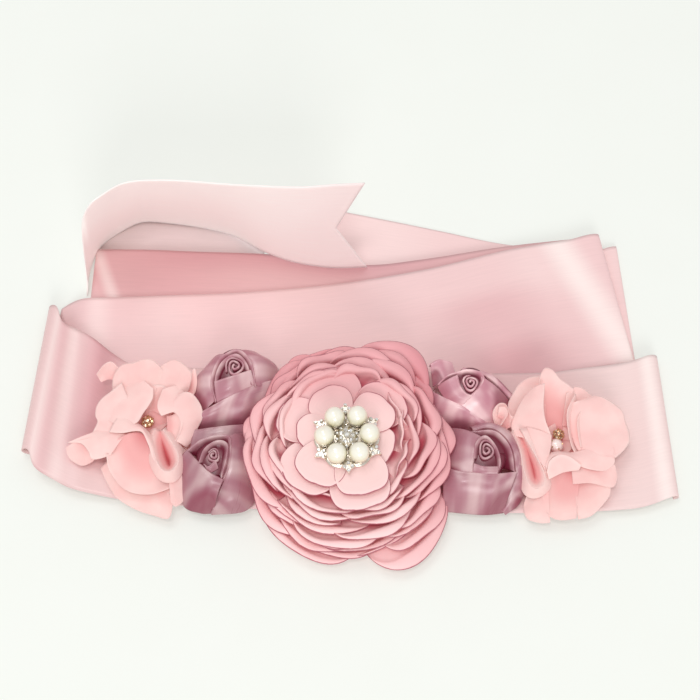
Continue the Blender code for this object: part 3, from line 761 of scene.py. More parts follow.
def petal_patch(petal, dice):
    """A petal that stands in its ring, its lip rolled outwards. A runs over it from side to side, -1 to 1."""
    ring = RINGS[petal.ring]
    hub = FIRST_HUB + PETAL_STEP * petal.ring
    a, i = np.meshgrid(np.linspace(-1, 1, PETAL_COLUMNS + 1), np.arange(PETAL_ROWS))
    out, lip_share, up = spline(PETAL_CUP, PETAL_ROWS).T[:, i]
    angle = radians(petal.way) + radians(petal.span) * a
    near = np.clip(-np.sin(angle), 0, 1) ** 1.3
    far = np.clip(np.sin(angle), 0, 1)
    phase = [dice.uniform(0, 6) for _ in range(4)]
    # The lip, the rise and the wall get less towards the petal's ends, and waver along it
    lip = max(ring.lip + LIP_OF_REACH * petal.reach, LEAST_LIP) * (1 - near * (1 - NEAR_LIP))
    lip = lip * (1 - a**2) ** 0.9 * (1 + LIP_WAVER * np.sin(4.2 * a + phase[0]))
    rise = ring.rise * (1 - near * (1 - NEAR_RISE)) + (petal.lift + petal.lean * a) * (1 - 0.5 * near)
    rise = rise * (1 - 0.7 * np.abs(a) ** 3.4) * (1 + RISE_WAVER * np.sin(5 * a + phase[1]))
    wall = 1 / np.hypot(np.cos(angle) / ring.wide, np.sin(angle) / ring.long)
    wall = wall + petal.reach * (1 - a**4) - ring.lip + petal.slant * a
    wall = wall + WALL_WAVER * np.sin(6 * a + phase[2]) - END_PULL * a**4 - FAR_PULL * far + NEAR_PUSH * near
    droop = LIP_DROOP * lip * lip_share**3 * (1 + 0.8 * np.sin(3 * a + phase[3]))
    z = hub + rise * up - droop + 0.5 * petal.slant * a * up
    return flower_patch(angle, wall * out + lip * lip_share, z, a, radians(petal.span) * ring.wide, ring.wide)


def lobe_patch(lobe, number, dice):
    """A nearly flat petal of the middle, its rim a little raised."""
    a, r = np.meshgrid(np.linspace(-1, 1, PETAL_COLUMNS + 1), np.linspace(0.05, 1, PETAL_ROWS) ** 0.7)
    angle = radians(lobe.way) + radians(lobe.span) * a
    outline = (1 - np.abs(a) ** 3.2) ** 0.42
    ripple = 0.012 * np.sin(5 * a + dice.uniform(0, 6)) + 0.006 * np.sin(13 * a + dice.uniform(0, 6))
    rim = np.clip((r - 0.7) / 0.3, 0, 1)
    lip = np.clip((r - 0.95) / 0.05, 0, 1)
    wave = 0.35 * np.sin(3 * a + dice.uniform(0, 6))
    hub = FIRST_HUB + PETAL_STEP * lobe.ring
    z = hub + (lobe.lift + wave) * rim**1.6 - 0.35 * lip**2 + LOBE_STEP * (number % LOBES_A_TURN)
    side = radians(lobe.span) * lobe.reach * 0.5
    return flower_patch(angle, lobe.reach * r * outline * (1 + ripple), z, a, side, lobe.reach)


def flower_painted_light():
    """Painted shade deepens the flower's colour far from the viewer and at its sides, and painted light makes
    it paler near the viewer.
    """
    x, y, _ = (on_front([(*FLOWER_CENTRE, TINTED_HEIGHT)])[0] + SHIFT) * MM
    return [
        Tint(1, y + 0.002, y + 0.026, PETAL_FAR_SHADE, 0.55), Tint(0, x + 0.016, x + 0.034, PETAL_FAR_SHADE, 0.5),
        Tint(0, x - 0.022, x - 0.04, PETAL_FAR_SHADE, 0.28), Tint(1, y - 0.014, y - 0.038, PETAL_NEAR_LIGHT, 0.35),
    ]


def make_flower():
    rings = len(RINGS) + FLAT_RINGS
    tints = flower_painted_light()
    for ring in range(rings):
        number = f"{ring + 1:02d}"
        share = ring / (rings - 1)
        face = tuple(o + (i - o) * share for i, o in zip(PETAL_INNER, PETAL_OUTER))
        deep = PETAL_DEEP_AND_SHADE if ring < len(RINGS) else None
        deep_from = WIDE_DEEP_SHADE_FROM_RIM if ring < WIDE_RINGS else DEEP_SHADE_FROM_RIM
        cloth = satin("petal_satin_" + number, face, toned(face, PETAL_SHADE), 0.55, 0.12, tints=tints,
                      edge=PETAL_EDGE, deep=deep, deep_from=deep_from, glow=PETAL_PAINTED_BOUNCE)
        dice = Random(7 + ring)
        if ring < len(RINGS):
            patches = [petal_patch(petal, dice) for petal in petals_of(ring)]
        else:
            patches = [lobe_patch(lobe, i, dice) for i, lobe in enumerate(LOBES) if lobe.ring == ring]
        name, node = "petal_ring_" + number, "petals_" + number
        made = add_cloth(name, patches, cloth, node, PETAL_WALL)


# Rosettes

ROSETTE_WALL = 0.35
ROSETTE_STRIP = 25.0
BUD_TURNS = 2.3
BUD_STEPS = 30
BUD_ROWS = 16
BUD_TOP = 14.8
BUD_MIDDLE = 0.45
# How far the bud is from round, in three lobes
BUD_LOBING = 0.09
# How high the bud's wrap starts over its section, and how far it sinks in a turn
BUD_LIFT = 1.0
BUD_SINK = 0.75
# The section of the bud's wrap from its inner foot over its top: how far it leans out, and its height
BUD_SECTION = [(0.9, 7.0), (0.45, 10.0), (0.1, 13.4), (0.0, 14.6), (-0.22, 14.8), (-0.42, 14.4), (-0.4, 11.0)]
PANEL_COLUMNS = 40
PANEL_ROWS = 34
# The cloth round the bud, painted dark as shade: how far it reaches past it, how high its middle lies, and
# how far its rim lies below that
HOLLOW_REACH = 4.2
HOLLOW_TOP = 12.6
HOLLOW_DROP = 1.8
HOLLOW_ROWS = 8
HOLLOW_COLUMNS = 33
# UV in millimetres: for a radian round the bud, for each millimetre below its top, and at the hollow's rim.
# Where V is under zero, the cloth is painted dark, as the shade inside its folds.
ROUND_UV = 4.0
BUD_UV = -2.2
HOLLOW_UV = -5.0
# The pleats of a panel, by the run of a radian of their waves in millimetres
FINE_PLEAT, WIDE_PLEAT = 2.6, 5.1
# How many soft bands of painted highlight and shade a metre of a rosette's satin has along its rim and away
# from it
ROSE_PAINTED_BANDS = (120.0, 45.0, 1.0)
# In metres from the rim: where the painted shade towards the foot starts and is full, and between which the
# painted shade inside the folds ends
ROSE_FOOT_SHADE_FROM = (0.009, 0.018)
ROSE_FOLD_SHADE_TO = (-0.003, -0.0002)
# A panel of a rosette falls from a folded rim to its foot, each a line through a few points in the front
# panel's plane. A rim with no foot stands by itself, as the lip of a wrap round the bud. A panel has more
# painted shade towards its foot at one share of the way along its rim.
Panel = namedtuple("Panel", "rim foot puff deep_at deep", defaults=(None, 0.0, 0.5, 0.0))
# A rosette: how bright its satin is painted, standing in for the light that it gets, where its bud stands,
# the bud's radius and how much longer than wide it is, the angle that its wrap starts at, which way it
# winds, and the panels round it
Rose = namedtuple("Rose", "name bright x y bud long turn wind panels")
UPPER_LEFT = [
    Panel([(-52, 34.6, 12), (-56.4, 24, 12.2), (-55.4, 13.4, 11)],
          [(-58.5, 34, 5), (-65.6, 24, 2), (-62.4, 7, 2)], 1.2, 1, 2.2),
    Panel([(-48, 35.2, 13), (-40.6, 30.8, 13.2), (-38, 20, 12)],
          [(-39, 38, 6), (-30.5, 32.6, 3), (-30, 20, 4)], 1.4),
    Panel([(-54.4, 13.4, 11.6), (-56.4, 21.5, 13.2), (-53.8, 30.6, 14), (-46.6, 35.2, 14.3),
           (-40.9, 30, 14), (-38.6, 19.6, 12.6)]),
    Panel([(-53.2, 14.4, 11.4), (-54.8, 22, 13.4), (-52.4, 29.4, 14.3), (-46.8, 33, 14.7),
           (-42.4, 28.6, 14.2), (-40.4, 20.5, 12.6)]),
    Panel([(-55.4, 21.2, 13.2), (-48, 23.4, 14.2), (-40.4, 26.2, 13.8)],
          [(-54, 11.5, 9.5), (-46.5, 14, 10.5), (-38.4, 19.4, 10)], 0.9, 1, 0.5),
    Panel([(-60.6, 8.8, 10.6), (-47, 15.9, 12.8), (-36, 21.4, 11.4), (-28, 24.8, 8.6)],
          [(-62.6, 3.4, 1.4), (-51, 3.6, 1.8), (-38, 6, 2), (-28, 10, 2)], 2.2, 0.75, 0.8),
]
LOWER_LEFT = [
    Panel([(-63.4, 1.4, 9.4), (-51, 2.6, 10.8), (-40.4, 4.4, 8.6)],
          [(-64.4, -6, 8), (-53, -3.6, 10), (-42, -4, 7)], -0.6, 1, 2.4),
    Panel([(-65.2, -8.2, 11), (-59.6, -4.2, 12.8), (-53.4, -2.6, 13.4), (-48.4, -3, 13.4),
           (-47.6, -9, 13.4), (-48.2, -15.4, 12.8), (-50.2, -20.6, 12)]),
    Panel([(-48.6, -2.2, 13), (-47.7, -9, 13.2), (-48.5, -17, 12.4), (-51.4, -24, 9.2),
           (-54.8, -30.4, 3.2)],
          [(-41.5, 1.5, 5), (-36.8, -8, 1.5), (-36.4, -18, 1), (-41, -29.2, 0.8),
           (-55.4, -31.4, 0.8)], 1.6, 0.1, 0.7),
    Panel([(-59.8, -14, 13.2), (-57.6, -8.4, 14.2), (-53, -5.2, 14.4), (-49.2, -6.4, 14.2),
           (-49.2, -12, 13.8), (-51, -19.8, 12.9)]),
    Panel([(-57.9, -14.8, 13.6), (-55.8, -15.8, 13.8), (-53.2, -13, 14.2)],
          [(-56.6, -16.8, 12.4), (-54.9, -17.6, 12.4), (-52.2, -16, 12.6)], 0.3),
    Panel([(-65.6, -7.6, 10.8), (-59.8, -14.2, 12.8), (-55.4, -18.3, 13.1), (-50, -21, 12.4)],
          [(-69.4, -13, 2), (-67, -27, 1), (-60, -30.6, 0.8), (-54.3, -30.8, 1)], 1.8, 0.85, 1.3),
]
UPPER_RIGHT = [
    Panel([(33.2, 31, 9.4), (37, 32.6, 10.2), (42.2, 31.6, 9.6)],
          [(34, 21, 9), (38, 23, 10), (43.5, 25.5, 11)], -0.8, 0.1, 4.5),
    Panel([(46, 27.4, 11.4), (56, 25, 11), (66.4, 16.4, 7.4)],
          [(47, 30.4, 6), (58.5, 28.4, 4), (69.4, 18.4, 2)], 0.8, 0.8, 5),
    Panel([(53.9, 23.6, 13.5), (53.4, 19.6, 13.6), (49.2, 15.3, 13.2), (44.6, 10.8, 11.6)],
          [(65.6, 15.4, 6), (65, 10, 4), (61, 3, 4), (57, 1.5, 5)], 1.6, 0.15, 1.4),
    Panel([(43.6, 24.2, 13.6), (44.6, 19.6, 13.8), (46.8, 16.2, 13.6), (49.6, 15, 13.2)],
          [(35.8, 20.6, 9.8), (38.2, 16, 10), (41, 12.6, 10.4), (45, 10.8, 11)], 1.2, 0.9, 0.8),
    Panel([(36, 21, 10.8), (39.6, 24, 12.6), (43.6, 25.4, 13.4), (48.4, 26.3, 14), (53.2, 25, 13.9),
           (54.2, 21.6, 13.8), (50, 15.4, 13.3)]),
    Panel([(32, 19.8, 8.6), (38, 15.4, 10.8), (44.4, 11.6, 12), (51.5, 7.2, 10.8), (58.8, 2.4, 8)],
          [(31, 9, 3), (35, 5.5, 2), (41.7, 4, 1.6), (50, 2.4, 1.8), (57, 0.5, 3)], 1.4, 0.6, 1.2),
]
LOWER_RIGHT = [
    Panel([(49.4, 0.6, 11.4), (56, 1.8, 12.2), (62, -1.8, 12.4), (65.4, -8.6, 12.2), (66.2, -17.2, 11)],
          [(48.5, 3.8, 7), (57.5, 5.6, 6), (67, 1.2, 5), (71.6, -9, 4), (70.6, -19, 3)], 1, 0.8, 3.5),
    Panel([(66.2, -14, 11.4), (65.8, -19, 10.4), (63.2, -25, 6.6), (60.2, -30.2, 2)],
          [(71.4, -15, 3), (70.4, -21, 2), (67.6, -27, 1), (62, -31.4, 0.8)], 1.2, 0.7, 2.6),
    Panel([(48.6, -0.6, 12.4), (57, -0.4, 13.4), (61.6, -4, 13.4), (64.1, -9.2, 13), (64.9, -17, 12)]),
    Panel([(53.2, -3.4, 13.8), (49.8, -8, 13.9), (48.8, -13, 13.6), (48.3, -17.8, 12.8)],
          [(40.4, 3.4, 7), (36.6, -4, 4), (36.4, -14.5, 5), (38, -17, 6)], 1.6, 1, 1.6),
    Panel([(49.4, -12.4, 13.6), (50.4, -6, 14.4), (54.2, -3.2, 14.6), (58, -7.8, 14.4),
           (59.4, -13.6, 13.8), (58, -18.4, 13)]),
    Panel([(49, -14.6, 13.7), (53, -16, 14), (58.6, -16, 13.7)],
          [(48.4, -19, 11.6), (53, -19.6, 11.6), (58.2, -19.6, 11.6)], 0.3),
    Panel([(37, -15, 10.6), (43, -17.2, 12.2), (50, -18.3, 12.9), (58, -18.7, 12.9), (66.2, -17.4, 11.8)],
          [(36.8, -29.8, 1), (45, -30.8, 0.9), (54, -31.4, 0.8), (61.2, -30.6, 0.8)], 2.4, 0.97, 1.3),
]
ROSES = [
    Rose("upper_left", 0.96, -47.1, 27.6, 4.2, 1.15, 100, 1, UPPER_LEFT),
    Rose("lower_left", 0.79, -54.2, -11.4, 2.8, 1.15, 40, 1, LOWER_LEFT),
    Rose("upper_right", 1.22, 49.2, 20.3, 3.5, 1.1, 200, -1, UPPER_RIGHT),
    Rose("lower_right", 0.89, 54.4, -9.2, 3.7, 1.3, 120, -1, LOWER_RIGHT),
]
# The section of a panel: how far out in millimetres and as a share of the way to its foot, and how far
# below the rim, likewise
Section = namedtuple("Section", "out out_share below below_share")
PANEL_SECTION = [
    Section(-1.2, 0.0, 5.0, 0.0), Section(-0.75, 0.0, 2.2, 0.0), Section(-0.35, 0.0, 0.5, 0.0),
    Section(0.0, 0.0, 0.0, 0.0), Section(0.3, 0.02, 0.12, 0.0), Section(0.3, 0.14, 0.1, 0.05),
    Section(0.2, 0.36, 0.1, 0.18), Section(0.1, 0.58, 0.0, 0.38), Section(0.0, 0.78, 0.0, 0.62),
    Section(0.0, 0.92, 0.0, 0.84), Section(0.0, 1.0, 0.0, 1.0),
]
# How much painted shade a panel's foot gets at the least, and how far along its rim the shaded part spreads
LEAST_FOOT_SHADE = 0.5
FOOT_SHADE_SPREAD = 0.3
# Where a lip's foot lies: how far out from its rim and how far down
LIP_FOOT = 1.6
LIP_DROP = 6.0
LIP_SECTION = [
    Section(-5.6, 0.0, 6.0, 0.0), Section(-4.2, 0.0, 4.0, 0.0), Section(-2.6, 0.0, 2.4, 0.0),
    Section(-1.2, 0.0, 1.3, 0.0), Section(-0.5, 0.0, 0.5, 0.0), Section(0.0, 0.0, 0.0, 0.0),
    Section(0.3, 0.02, 0.2, 0.0), Section(0.2, 0.4, 0.2, 0.4), Section(0.0, 1.0, 0.0, 1.0),
]


def outwards(steps):
    """The directions in plan of a few steps."""
    return steps[:, :2] / np.maximum(np.linalg.norm(steps[:, :2], axis=1, keepdims=True), 1e-6)


def panel_patch(rose, panel, dice):
    """A panel from its folded rim to its foot, a little pleated. U runs along the rim, V away from it."""
    rim = spline(panel.rim, PANEL_COLUMNS + 1)
    if panel.foot is None:
        out = outwards(rim - (rose.x, rose.y, 0.0))
        foot = rim + np.concatenate([out * LIP_FOOT, np.full((len(rim), 1), -LIP_DROP)], axis=1)
    else:
        foot = spline(panel.foot, PANEL_COLUMNS + 1)
        out = outwards(foot - rim)
    run = run_of(rim)
    made, pairs = [], []
    bell = np.exp(-(((run / run[-1] - panel.deep_at) / FOOT_SHADE_SPREAD) ** 2))
    first, second = dice.uniform(0, 6), dice.uniform(0, 6)
    section = PANEL_SECTION if panel.foot else LIP_SECTION
    for off, off_share, below, below_share in spline(section, PANEL_ROWS):
        flat = rim[:, :2] + out * off + (foot - rim)[:, :2] * off_share
        high = rim[:, 2] - below - (rim[:, 2] - foot[:, 2]) * below_share
        swell = sin(pi * min(max(off_share, 0.0), 1.0))
        fine = 0.35 * np.sin(run / FINE_PLEAT + first + 2 * off_share)
        pleat = fine + 0.3 * np.sin(run / WIDE_PLEAT + second - off_share)
        high = high + swell * (panel.puff * 0.6 + pleat * min(abs(panel.puff), 1.0))
        made.append(np.concatenate([flat, high[:, None]], axis=1))
        # V: under zero inside the fold, where the cloth is painted in shade; on the panel it grows faster
        # where the foot is painted in shade
        reach = off + off_share * np.linalg.norm(foot - rim, axis=1) - 0.8 * (below if off < 0 else 0.0)
        if off_share > 0:
            reach = reach * (LEAST_FOOT_SHADE + panel.deep * bell)
        pairs.append(np.stack([run, reach], axis=1))
    return front_patch(np.array(made), np.array(pairs))


def bud_patch(rose):
    """The rolled middle of a rosette."""
    rows = spline(BUD_SECTION, BUD_ROWS)
    turns = np.linspace(0, BUD_TURNS, round(BUD_TURNS * BUD_STEPS) + 1)
    turn, i = np.meshgrid(turns, np.arange(BUD_ROWS))
    lean, high = rows.T[:, i]
    radius = BUD_MIDDLE + (rose.bud - BUD_MIDDLE) * (turn / BUD_TURNS) ** 0.9 + lean
    angle = radians(rose.turn) + rose.wind * tau * turn
    lobed = radius * (1 + BUD_LOBING * np.cos(3 * angle + rose.turn))
    z = high + BUD_LIFT - BUD_SINK * turn
    uv = np.stack([angle * ROUND_UV, BUD_UV * (BUD_TOP - high)], axis=2)
    return front_patch(turned_points(rose.x, rose.y, lobed, angle, z, rose.long), uv)


def hollow_patch(rose):
    """The cloth low down round the bud, painted dark as shade."""
    shares, angles = np.linspace(0.05, 1, HOLLOW_ROWS), np.linspace(0, tau, HOLLOW_COLUMNS)
    share, angle = np.meshgrid(shares, angles, indexing="ij")
    radius = share * (rose.bud + HOLLOW_REACH)
    points = turned_points(rose.x, rose.y, radius, angle, HOLLOW_TOP - HOLLOW_DROP * share**2, rose.long)
    return front_patch(points, np.stack([angle * ROUND_UV, HOLLOW_UV * share], axis=2))


def rose_cloth(name, bright):
    """Heavy satin with soft bands of painted highlight and painted shade, painted shade towards its foot and
    inside its folds, and a faint painted glow. How bright it is stands for the light that each rosette gets.
    UV is in metres, V from the folded rim outwards.
    """
    made = Shader("rose_satin_" + name)
    uv = made.uv()
    _, v, _ = made.parts(uv)
    band = made.noise(1.0, 1.5, made.scaled(uv, ROSE_PAINTED_BANDS), 0.6)
    out = made.mix(made.ramp(band, 0.36, 0.66), toned(ROSE_SHADE, bright), toned(ROSE_FACE, bright))
    out = made.mix(made.ramp(v, *ROSE_FOOT_SHADE_FROM, 0.0, 0.75), out, ROSE_FOOT_SHADE)
    out = made.mix(made.ramp(v, *ROSE_FOLD_SHADE_TO, 1.0, 0.0), out, ROSE_FOLD_SHADE)
    slub = made.slub(uv)
    made.colour(made.uneven(out, slub))
    made.rough(made.ramp(slub, 0.2, 0.8, 0.26, 0.36))
    made.set(Sheen_Weight=0.15, Sheen_Roughness=0.3, Specular_IOR_Level=0.6)
    # A faint painted glow of wine red, standing in for light bounced into the folds
    made.set(Emission_Color=ROSE_PAINTED_BOUNCE, Emission_Strength=0.14)
    return made.material


def make_rosettes():
    for rose in ROSES:
        cloth = rose_cloth(rose.name, rose.bright)
        dice = Random(rose.name)
        patches = [bud_patch(rose), hollow_patch(rose)]
        patches += [panel_patch(rose, panel, dice) for panel in rose.panels]
        node = "rosette_" + rose.name
        made = add_cloth("rose_" + rose.name, patches, cloth, node, ROSETTE_WALL)
        cut_strip(patches, ROSETTE_STRIP)


# Chiffon flowers

CHIFFON_WALL = 0.25
SHEER_ROWS = 24
SHEER_COLUMNS = 40
# No part of a petal lies lower over the front panel
SHEER_FLOOR = 0.4
# A petal's ruffles and the folds across it, by the run of a radian of their waves in millimetres
FINE_RUFFLE, WIDE_RUFFLE, FOLD_RUN = 1.9, 4.3, 3.4
# How opaque each layer of a flower is
CHIFFON_COVERS = {"lower": 0.68, "upper": 0.8}
# In metres from the rim: how wide the pale hem is, and where the painted shade in the folds and the deeper
# painted shade in the pockets start and are full
CHIFFON_HEM = 0.0005
CHIFFON_FOLD_SHADE_FROM = (0.003, 0.017)
CHIFFON_POCKET_SHADE_FROM = (0.018, 0.036)
# How many grains a metre of it has each way, and how high they stand in metres
CHIFFON_GRAINS = (4000.0, 4000.0, 1.0)
CHIFFON_GRAIN_HEIGHT = 0.00003
# A petal of sheer cloth from its rim to its root, each a line through a few points in the front panel's
# plane: how far it swells between them, how much painted shade it gets towards the root, and its ruffle
Sheer = namedtuple("Sheer", "rim root swell depth ruffle")


def loop(x, y, z, right, far, left, near):
    """A closed line round the middle of a flower."""
    return [(right, y, z), (x, far, z), (left, y, z), (x, near, z), (right, y, z)]


# The rims of two pockets, each made by an inner and an outer petal
LEFT_POCKET = [(-78.4, 2, 10.6), (-79.4, -4, 12), (-77.6, -11, 13), (-74.6, -16.6, 12.6),
               (-71, -17.2, 12.4), (-68.4, -13.6, 12.6), (-69, -9, 13), (-72, -4, 13), (-75.4, 1, 11.4)]
RIGHT_POCKET = [(65.4, 1, 10.6), (68, -8, 11.6), (69, -16, 11.6), (71, -22, 10.8), (74.2, -23.6, 10.4),
                (77.2, -21, 10.8), (76.4, -16, 11.8), (72.6, -8, 12.6), (68.4, 1, 12.6)]
LEFT_LOWER = [
    Sheer(loop(-82.2, 6, 7, -73.6, 13.6, -90, -2),
          loop(-82.2, 6, 5.6, -80.6, 7.6, -83.8, 4.4), 0, 2.8, 0.3),
    Sheer([(-95, 20, 6), (-101, 12, 6), (-102, 2, 6), (-100, -6, 6), (-92, -14, 5), (-82, -20, 4)],
          [(-84, 7, 5), (-83, 4, 5), (-82, 2, 5)], 0.5, 0.8, 0.5),
    Sheer(loop(-81, 5, 5.4, -76, 10, -86, 0),
          loop(-81, 5, 5, -80, 6, -82, 4), -0.5, 7, 0.1),
    Sheer(loop(-81, 4, 5.6, -75, 11, -88, -4),
          loop(-82, 4, 0.5, -78, 8, -86, 0), 0, 3, 0.1),
    Sheer([(-95, 22, 6), (-84, 27, 8), (-74, 27, 8), (-66, 18, 7), (-63, 8, 6), (-64, -4, 5),
           (-67, -16, 4), (-74, -24, 3), (-82, -22, 4)],
          [(-84, 7, 5), (-82, 8, 5), (-80, 6, 5), (-80, 2, 5), (-82, 0, 5)], 0.5, 1, 0.5),
    Sheer([(-97, 19, 8), (-97, 24, 11), (-94, 29, 12.5), (-90, 30.6, 13.5), (-85, 31.2, 14),
           (-80, 30, 13.5), (-76, 26, 12)],
          [(-88, 9, 8), (-86, 10, 8.4), (-84, 11, 9), (-82, 11, 9)], 1, 0.5, 0.6),
    Sheer([(-80, 27, 12), (-75, 30.6, 13.6), (-71, 31.2, 13.6), (-67, 29, 12.6), (-65, 25, 11.6),
           (-66, 19, 9.6)],
          [(-82, 10, 8), (-80, 10, 9), (-78, 9, 9), (-76, 8, 8)], 1, 0.5, 0.6),
    Sheer([(-94.6, 28, 12.4), (-98, 30.4, 13), (-101.4, 29, 12), (-104.4, 26.4, 9.5)],
          [(-96, 24, 8), (-98.4, 24.8, 8), (-100.6, 24.6, 7.6), (-102.6, 24, 7)], -0.8, 1.6, 0.3),
    Sheer([(-115, -4, 4.5), (-113.6, -8, 3), (-109, -11.2, 3), (-105, -10.4, 3.6), (-102, -8, 5)],
          [(-110, -1, 6), (-106, -2, 7), (-102, -4, 7.5)], 0.5, 1.5, 0.4),
    Sheer([(-101, -12, 3), (-97.6, -19, 2), (-92, -25.6, 1.5), (-85, -29.6, 1), (-78, -32, 1),
           (-72, -32.6, 1), (-70.4, -24, 3)],
          [(-92, -6, 6), (-88, -8, 6), (-84, -9, 6), (-80, -10, 6), (-77, -12, 6)], 0.6, 0.9, 0.5),
    Sheer([(-71.4, -18, 7.6), (-71.6, -26, 4), (-69.4, -28.8, 3), (-66, -25.6, 3), (-64.2, -21, 3.8),
           (-63.4, -14, 5), (-65, -8, 7), (-67.6, -5, 8)],
          [(-73, -14, 8.6), (-72, -14, 9), (-71, -12, 9.4), (-70.4, -9, 9.6),
           (-70, -6, 9.6)], 0.8, 0.9, 0.3),
]
LEFT_UPPER = [
    Sheer([(-93, 21, 12), (-99, 16.6, 12.2), (-103, 12, 11), (-103.4, 8, 10), (-102, 5, 9), (-104, 1, 8),
           (-108, -1, 7), (-114.6, -2.4, 6)],
          [(-88, 10, 12), (-87, 8, 12), (-87, 5, 11.8), (-88, 2, 11.5), (-90, 0, 11.4)], 0.8, 0.4, 0.5),
    Sheer([(-114.6, -2.4, 6), (-109, -3.2, 7.2), (-105, -7, 8), (-103, -10.2, 7.2), (-96, -9, 8.4)],
          [(-100, 2, 9.4), (-97, 1, 10), (-94, 0, 11), (-90, -1, 11.6)], 0.8, 0.4, 0.4),
    Sheer([(-97.6, -9, 9.6), (-96.4, -14.4, 8.2), (-92.4, -20.8, 7), (-86.6, -24, 6.2), (-80, -24.6, 6),
           (-74.6, -23.2, 6), (-70.8, -21.6, 6.4)],
          [(-93, -3, 11.8), (-88, -0.8, 12.4), (-83, -1.4, 12.4), (-80.8, -6, 11.6), (-78.6, -12, 10.6),
           (-75.6, -15, 9.6)], -2.4, 1.25, 0.4),
    Sheer([(-97, 0, 11), (-91, -1.2, 13.2), (-86, -0.6, 13.8), (-83, -1.4, 13.8), (-80.4, -6.5, 13),
           (-78.2, -12, 11.8), (-75, -16, 10.4)],
          [(-92, 9, 11.6), (-89, 8, 12), (-86, 4, 12), (-84, 2.6, 11.6), (-82, 1, 11), (-79.4, -2, 10.6),
           (-77, -8, 10.2), (-75.6, -13, 9.6)], 1.2, 0.4, 0.4),
    Sheer([(-79.8, 18, 14), (-79.6, 14, 14.4), (-81, 10.6, 14.4), (-83.2, 7, 14), (-85.4, 3.6, 13.2),
           (-89, 2.2, 12.6), (-94, 2.6, 12)],
          [(-88, 26, 10.2), (-93, 23, 10), (-98, 18, 10.2), (-100, 12, 10.2), (-99, 6, 9.6)], 1, 0.15, 0.5),
    Sheer([(-81.4, 20, 12), (-77, 20.4, 12), (-72, 17, 12)],
          [(-85, 2, 6), (-80, 1, 5.6), (-73, 3, 6.4)], -1, 1.1, 0.2),
    Sheer([(-76.4, 18, 13), (-77.8, 13, 13.2), (-77.6, 9.6, 13), (-76, 6.6, 12)],
          [(-69, 21, 11), (-66.6, 15, 11), (-66, 10, 11)], 1, 0.6, 0.3),
    Sheer([(-73.6, 13.4, 12), (-68, 16.6, 13), (-64, 16, 12.4), (-60.8, 12, 11), (-59.8, 7, 10),
           (-61, 4, 9), (-62, 1, 9), (-63, -2, 8), (-66, -5.4, 8)],
          [(-76, 8, 11), (-71, 8, 12.4), (-68.4, 4, 12.6), (-68.6, 0, 12), (-70, -4, 11)], 0.9, 0.5, 0.4),
    Sheer([(-69.6, 9, 12.8), (-67.2, 4, 12.8), (-68.2, -1, 12.2), (-71, -5.6, 11.4)],
          [(-74, 7, 11.6), (-73.6, 1, 11), (-73.6, -3, 10.6)], -1.8, 2.4, 0.2),
    Sheer(LEFT_POCKET,
          [(-76.6, 1.6, 8.6), (-75.6, -3, 8), (-74, -8, 7.6), (-72.6, -11.4, 7.2), (-72.4, -12.4, 7.2),
           (-73, -11, 7.2), (-74.4, -8, 7.6), (-76, -3, 8), (-77, 1.6, 8.6)], 0, 5, 0.2),
    Sheer(LEFT_POCKET,
          [(-81, 2, 8), (-82, -5, 8), (-80, -13, 8), (-75.6, -19.4, 7.6), (-69.6, -19.8, 7.6),
           (-66.2, -14, 8), (-66.6, -8, 8.6), (-70, -1, 9), (-74.6, 3, 9)], 0.5, 0.8, 0.2),
    Sheer([(-67.4, 20.6, 9.6), (-65.6, 25, 10.4), (-64, 28.4, 10.6), (-62.8, 24, 9.6), (-63.4, 19, 8.6)],
          [(-67, 17, 8), (-66, 16.6, 8), (-65, 16.6, 8)], -0.6, 2, 0.2),
]
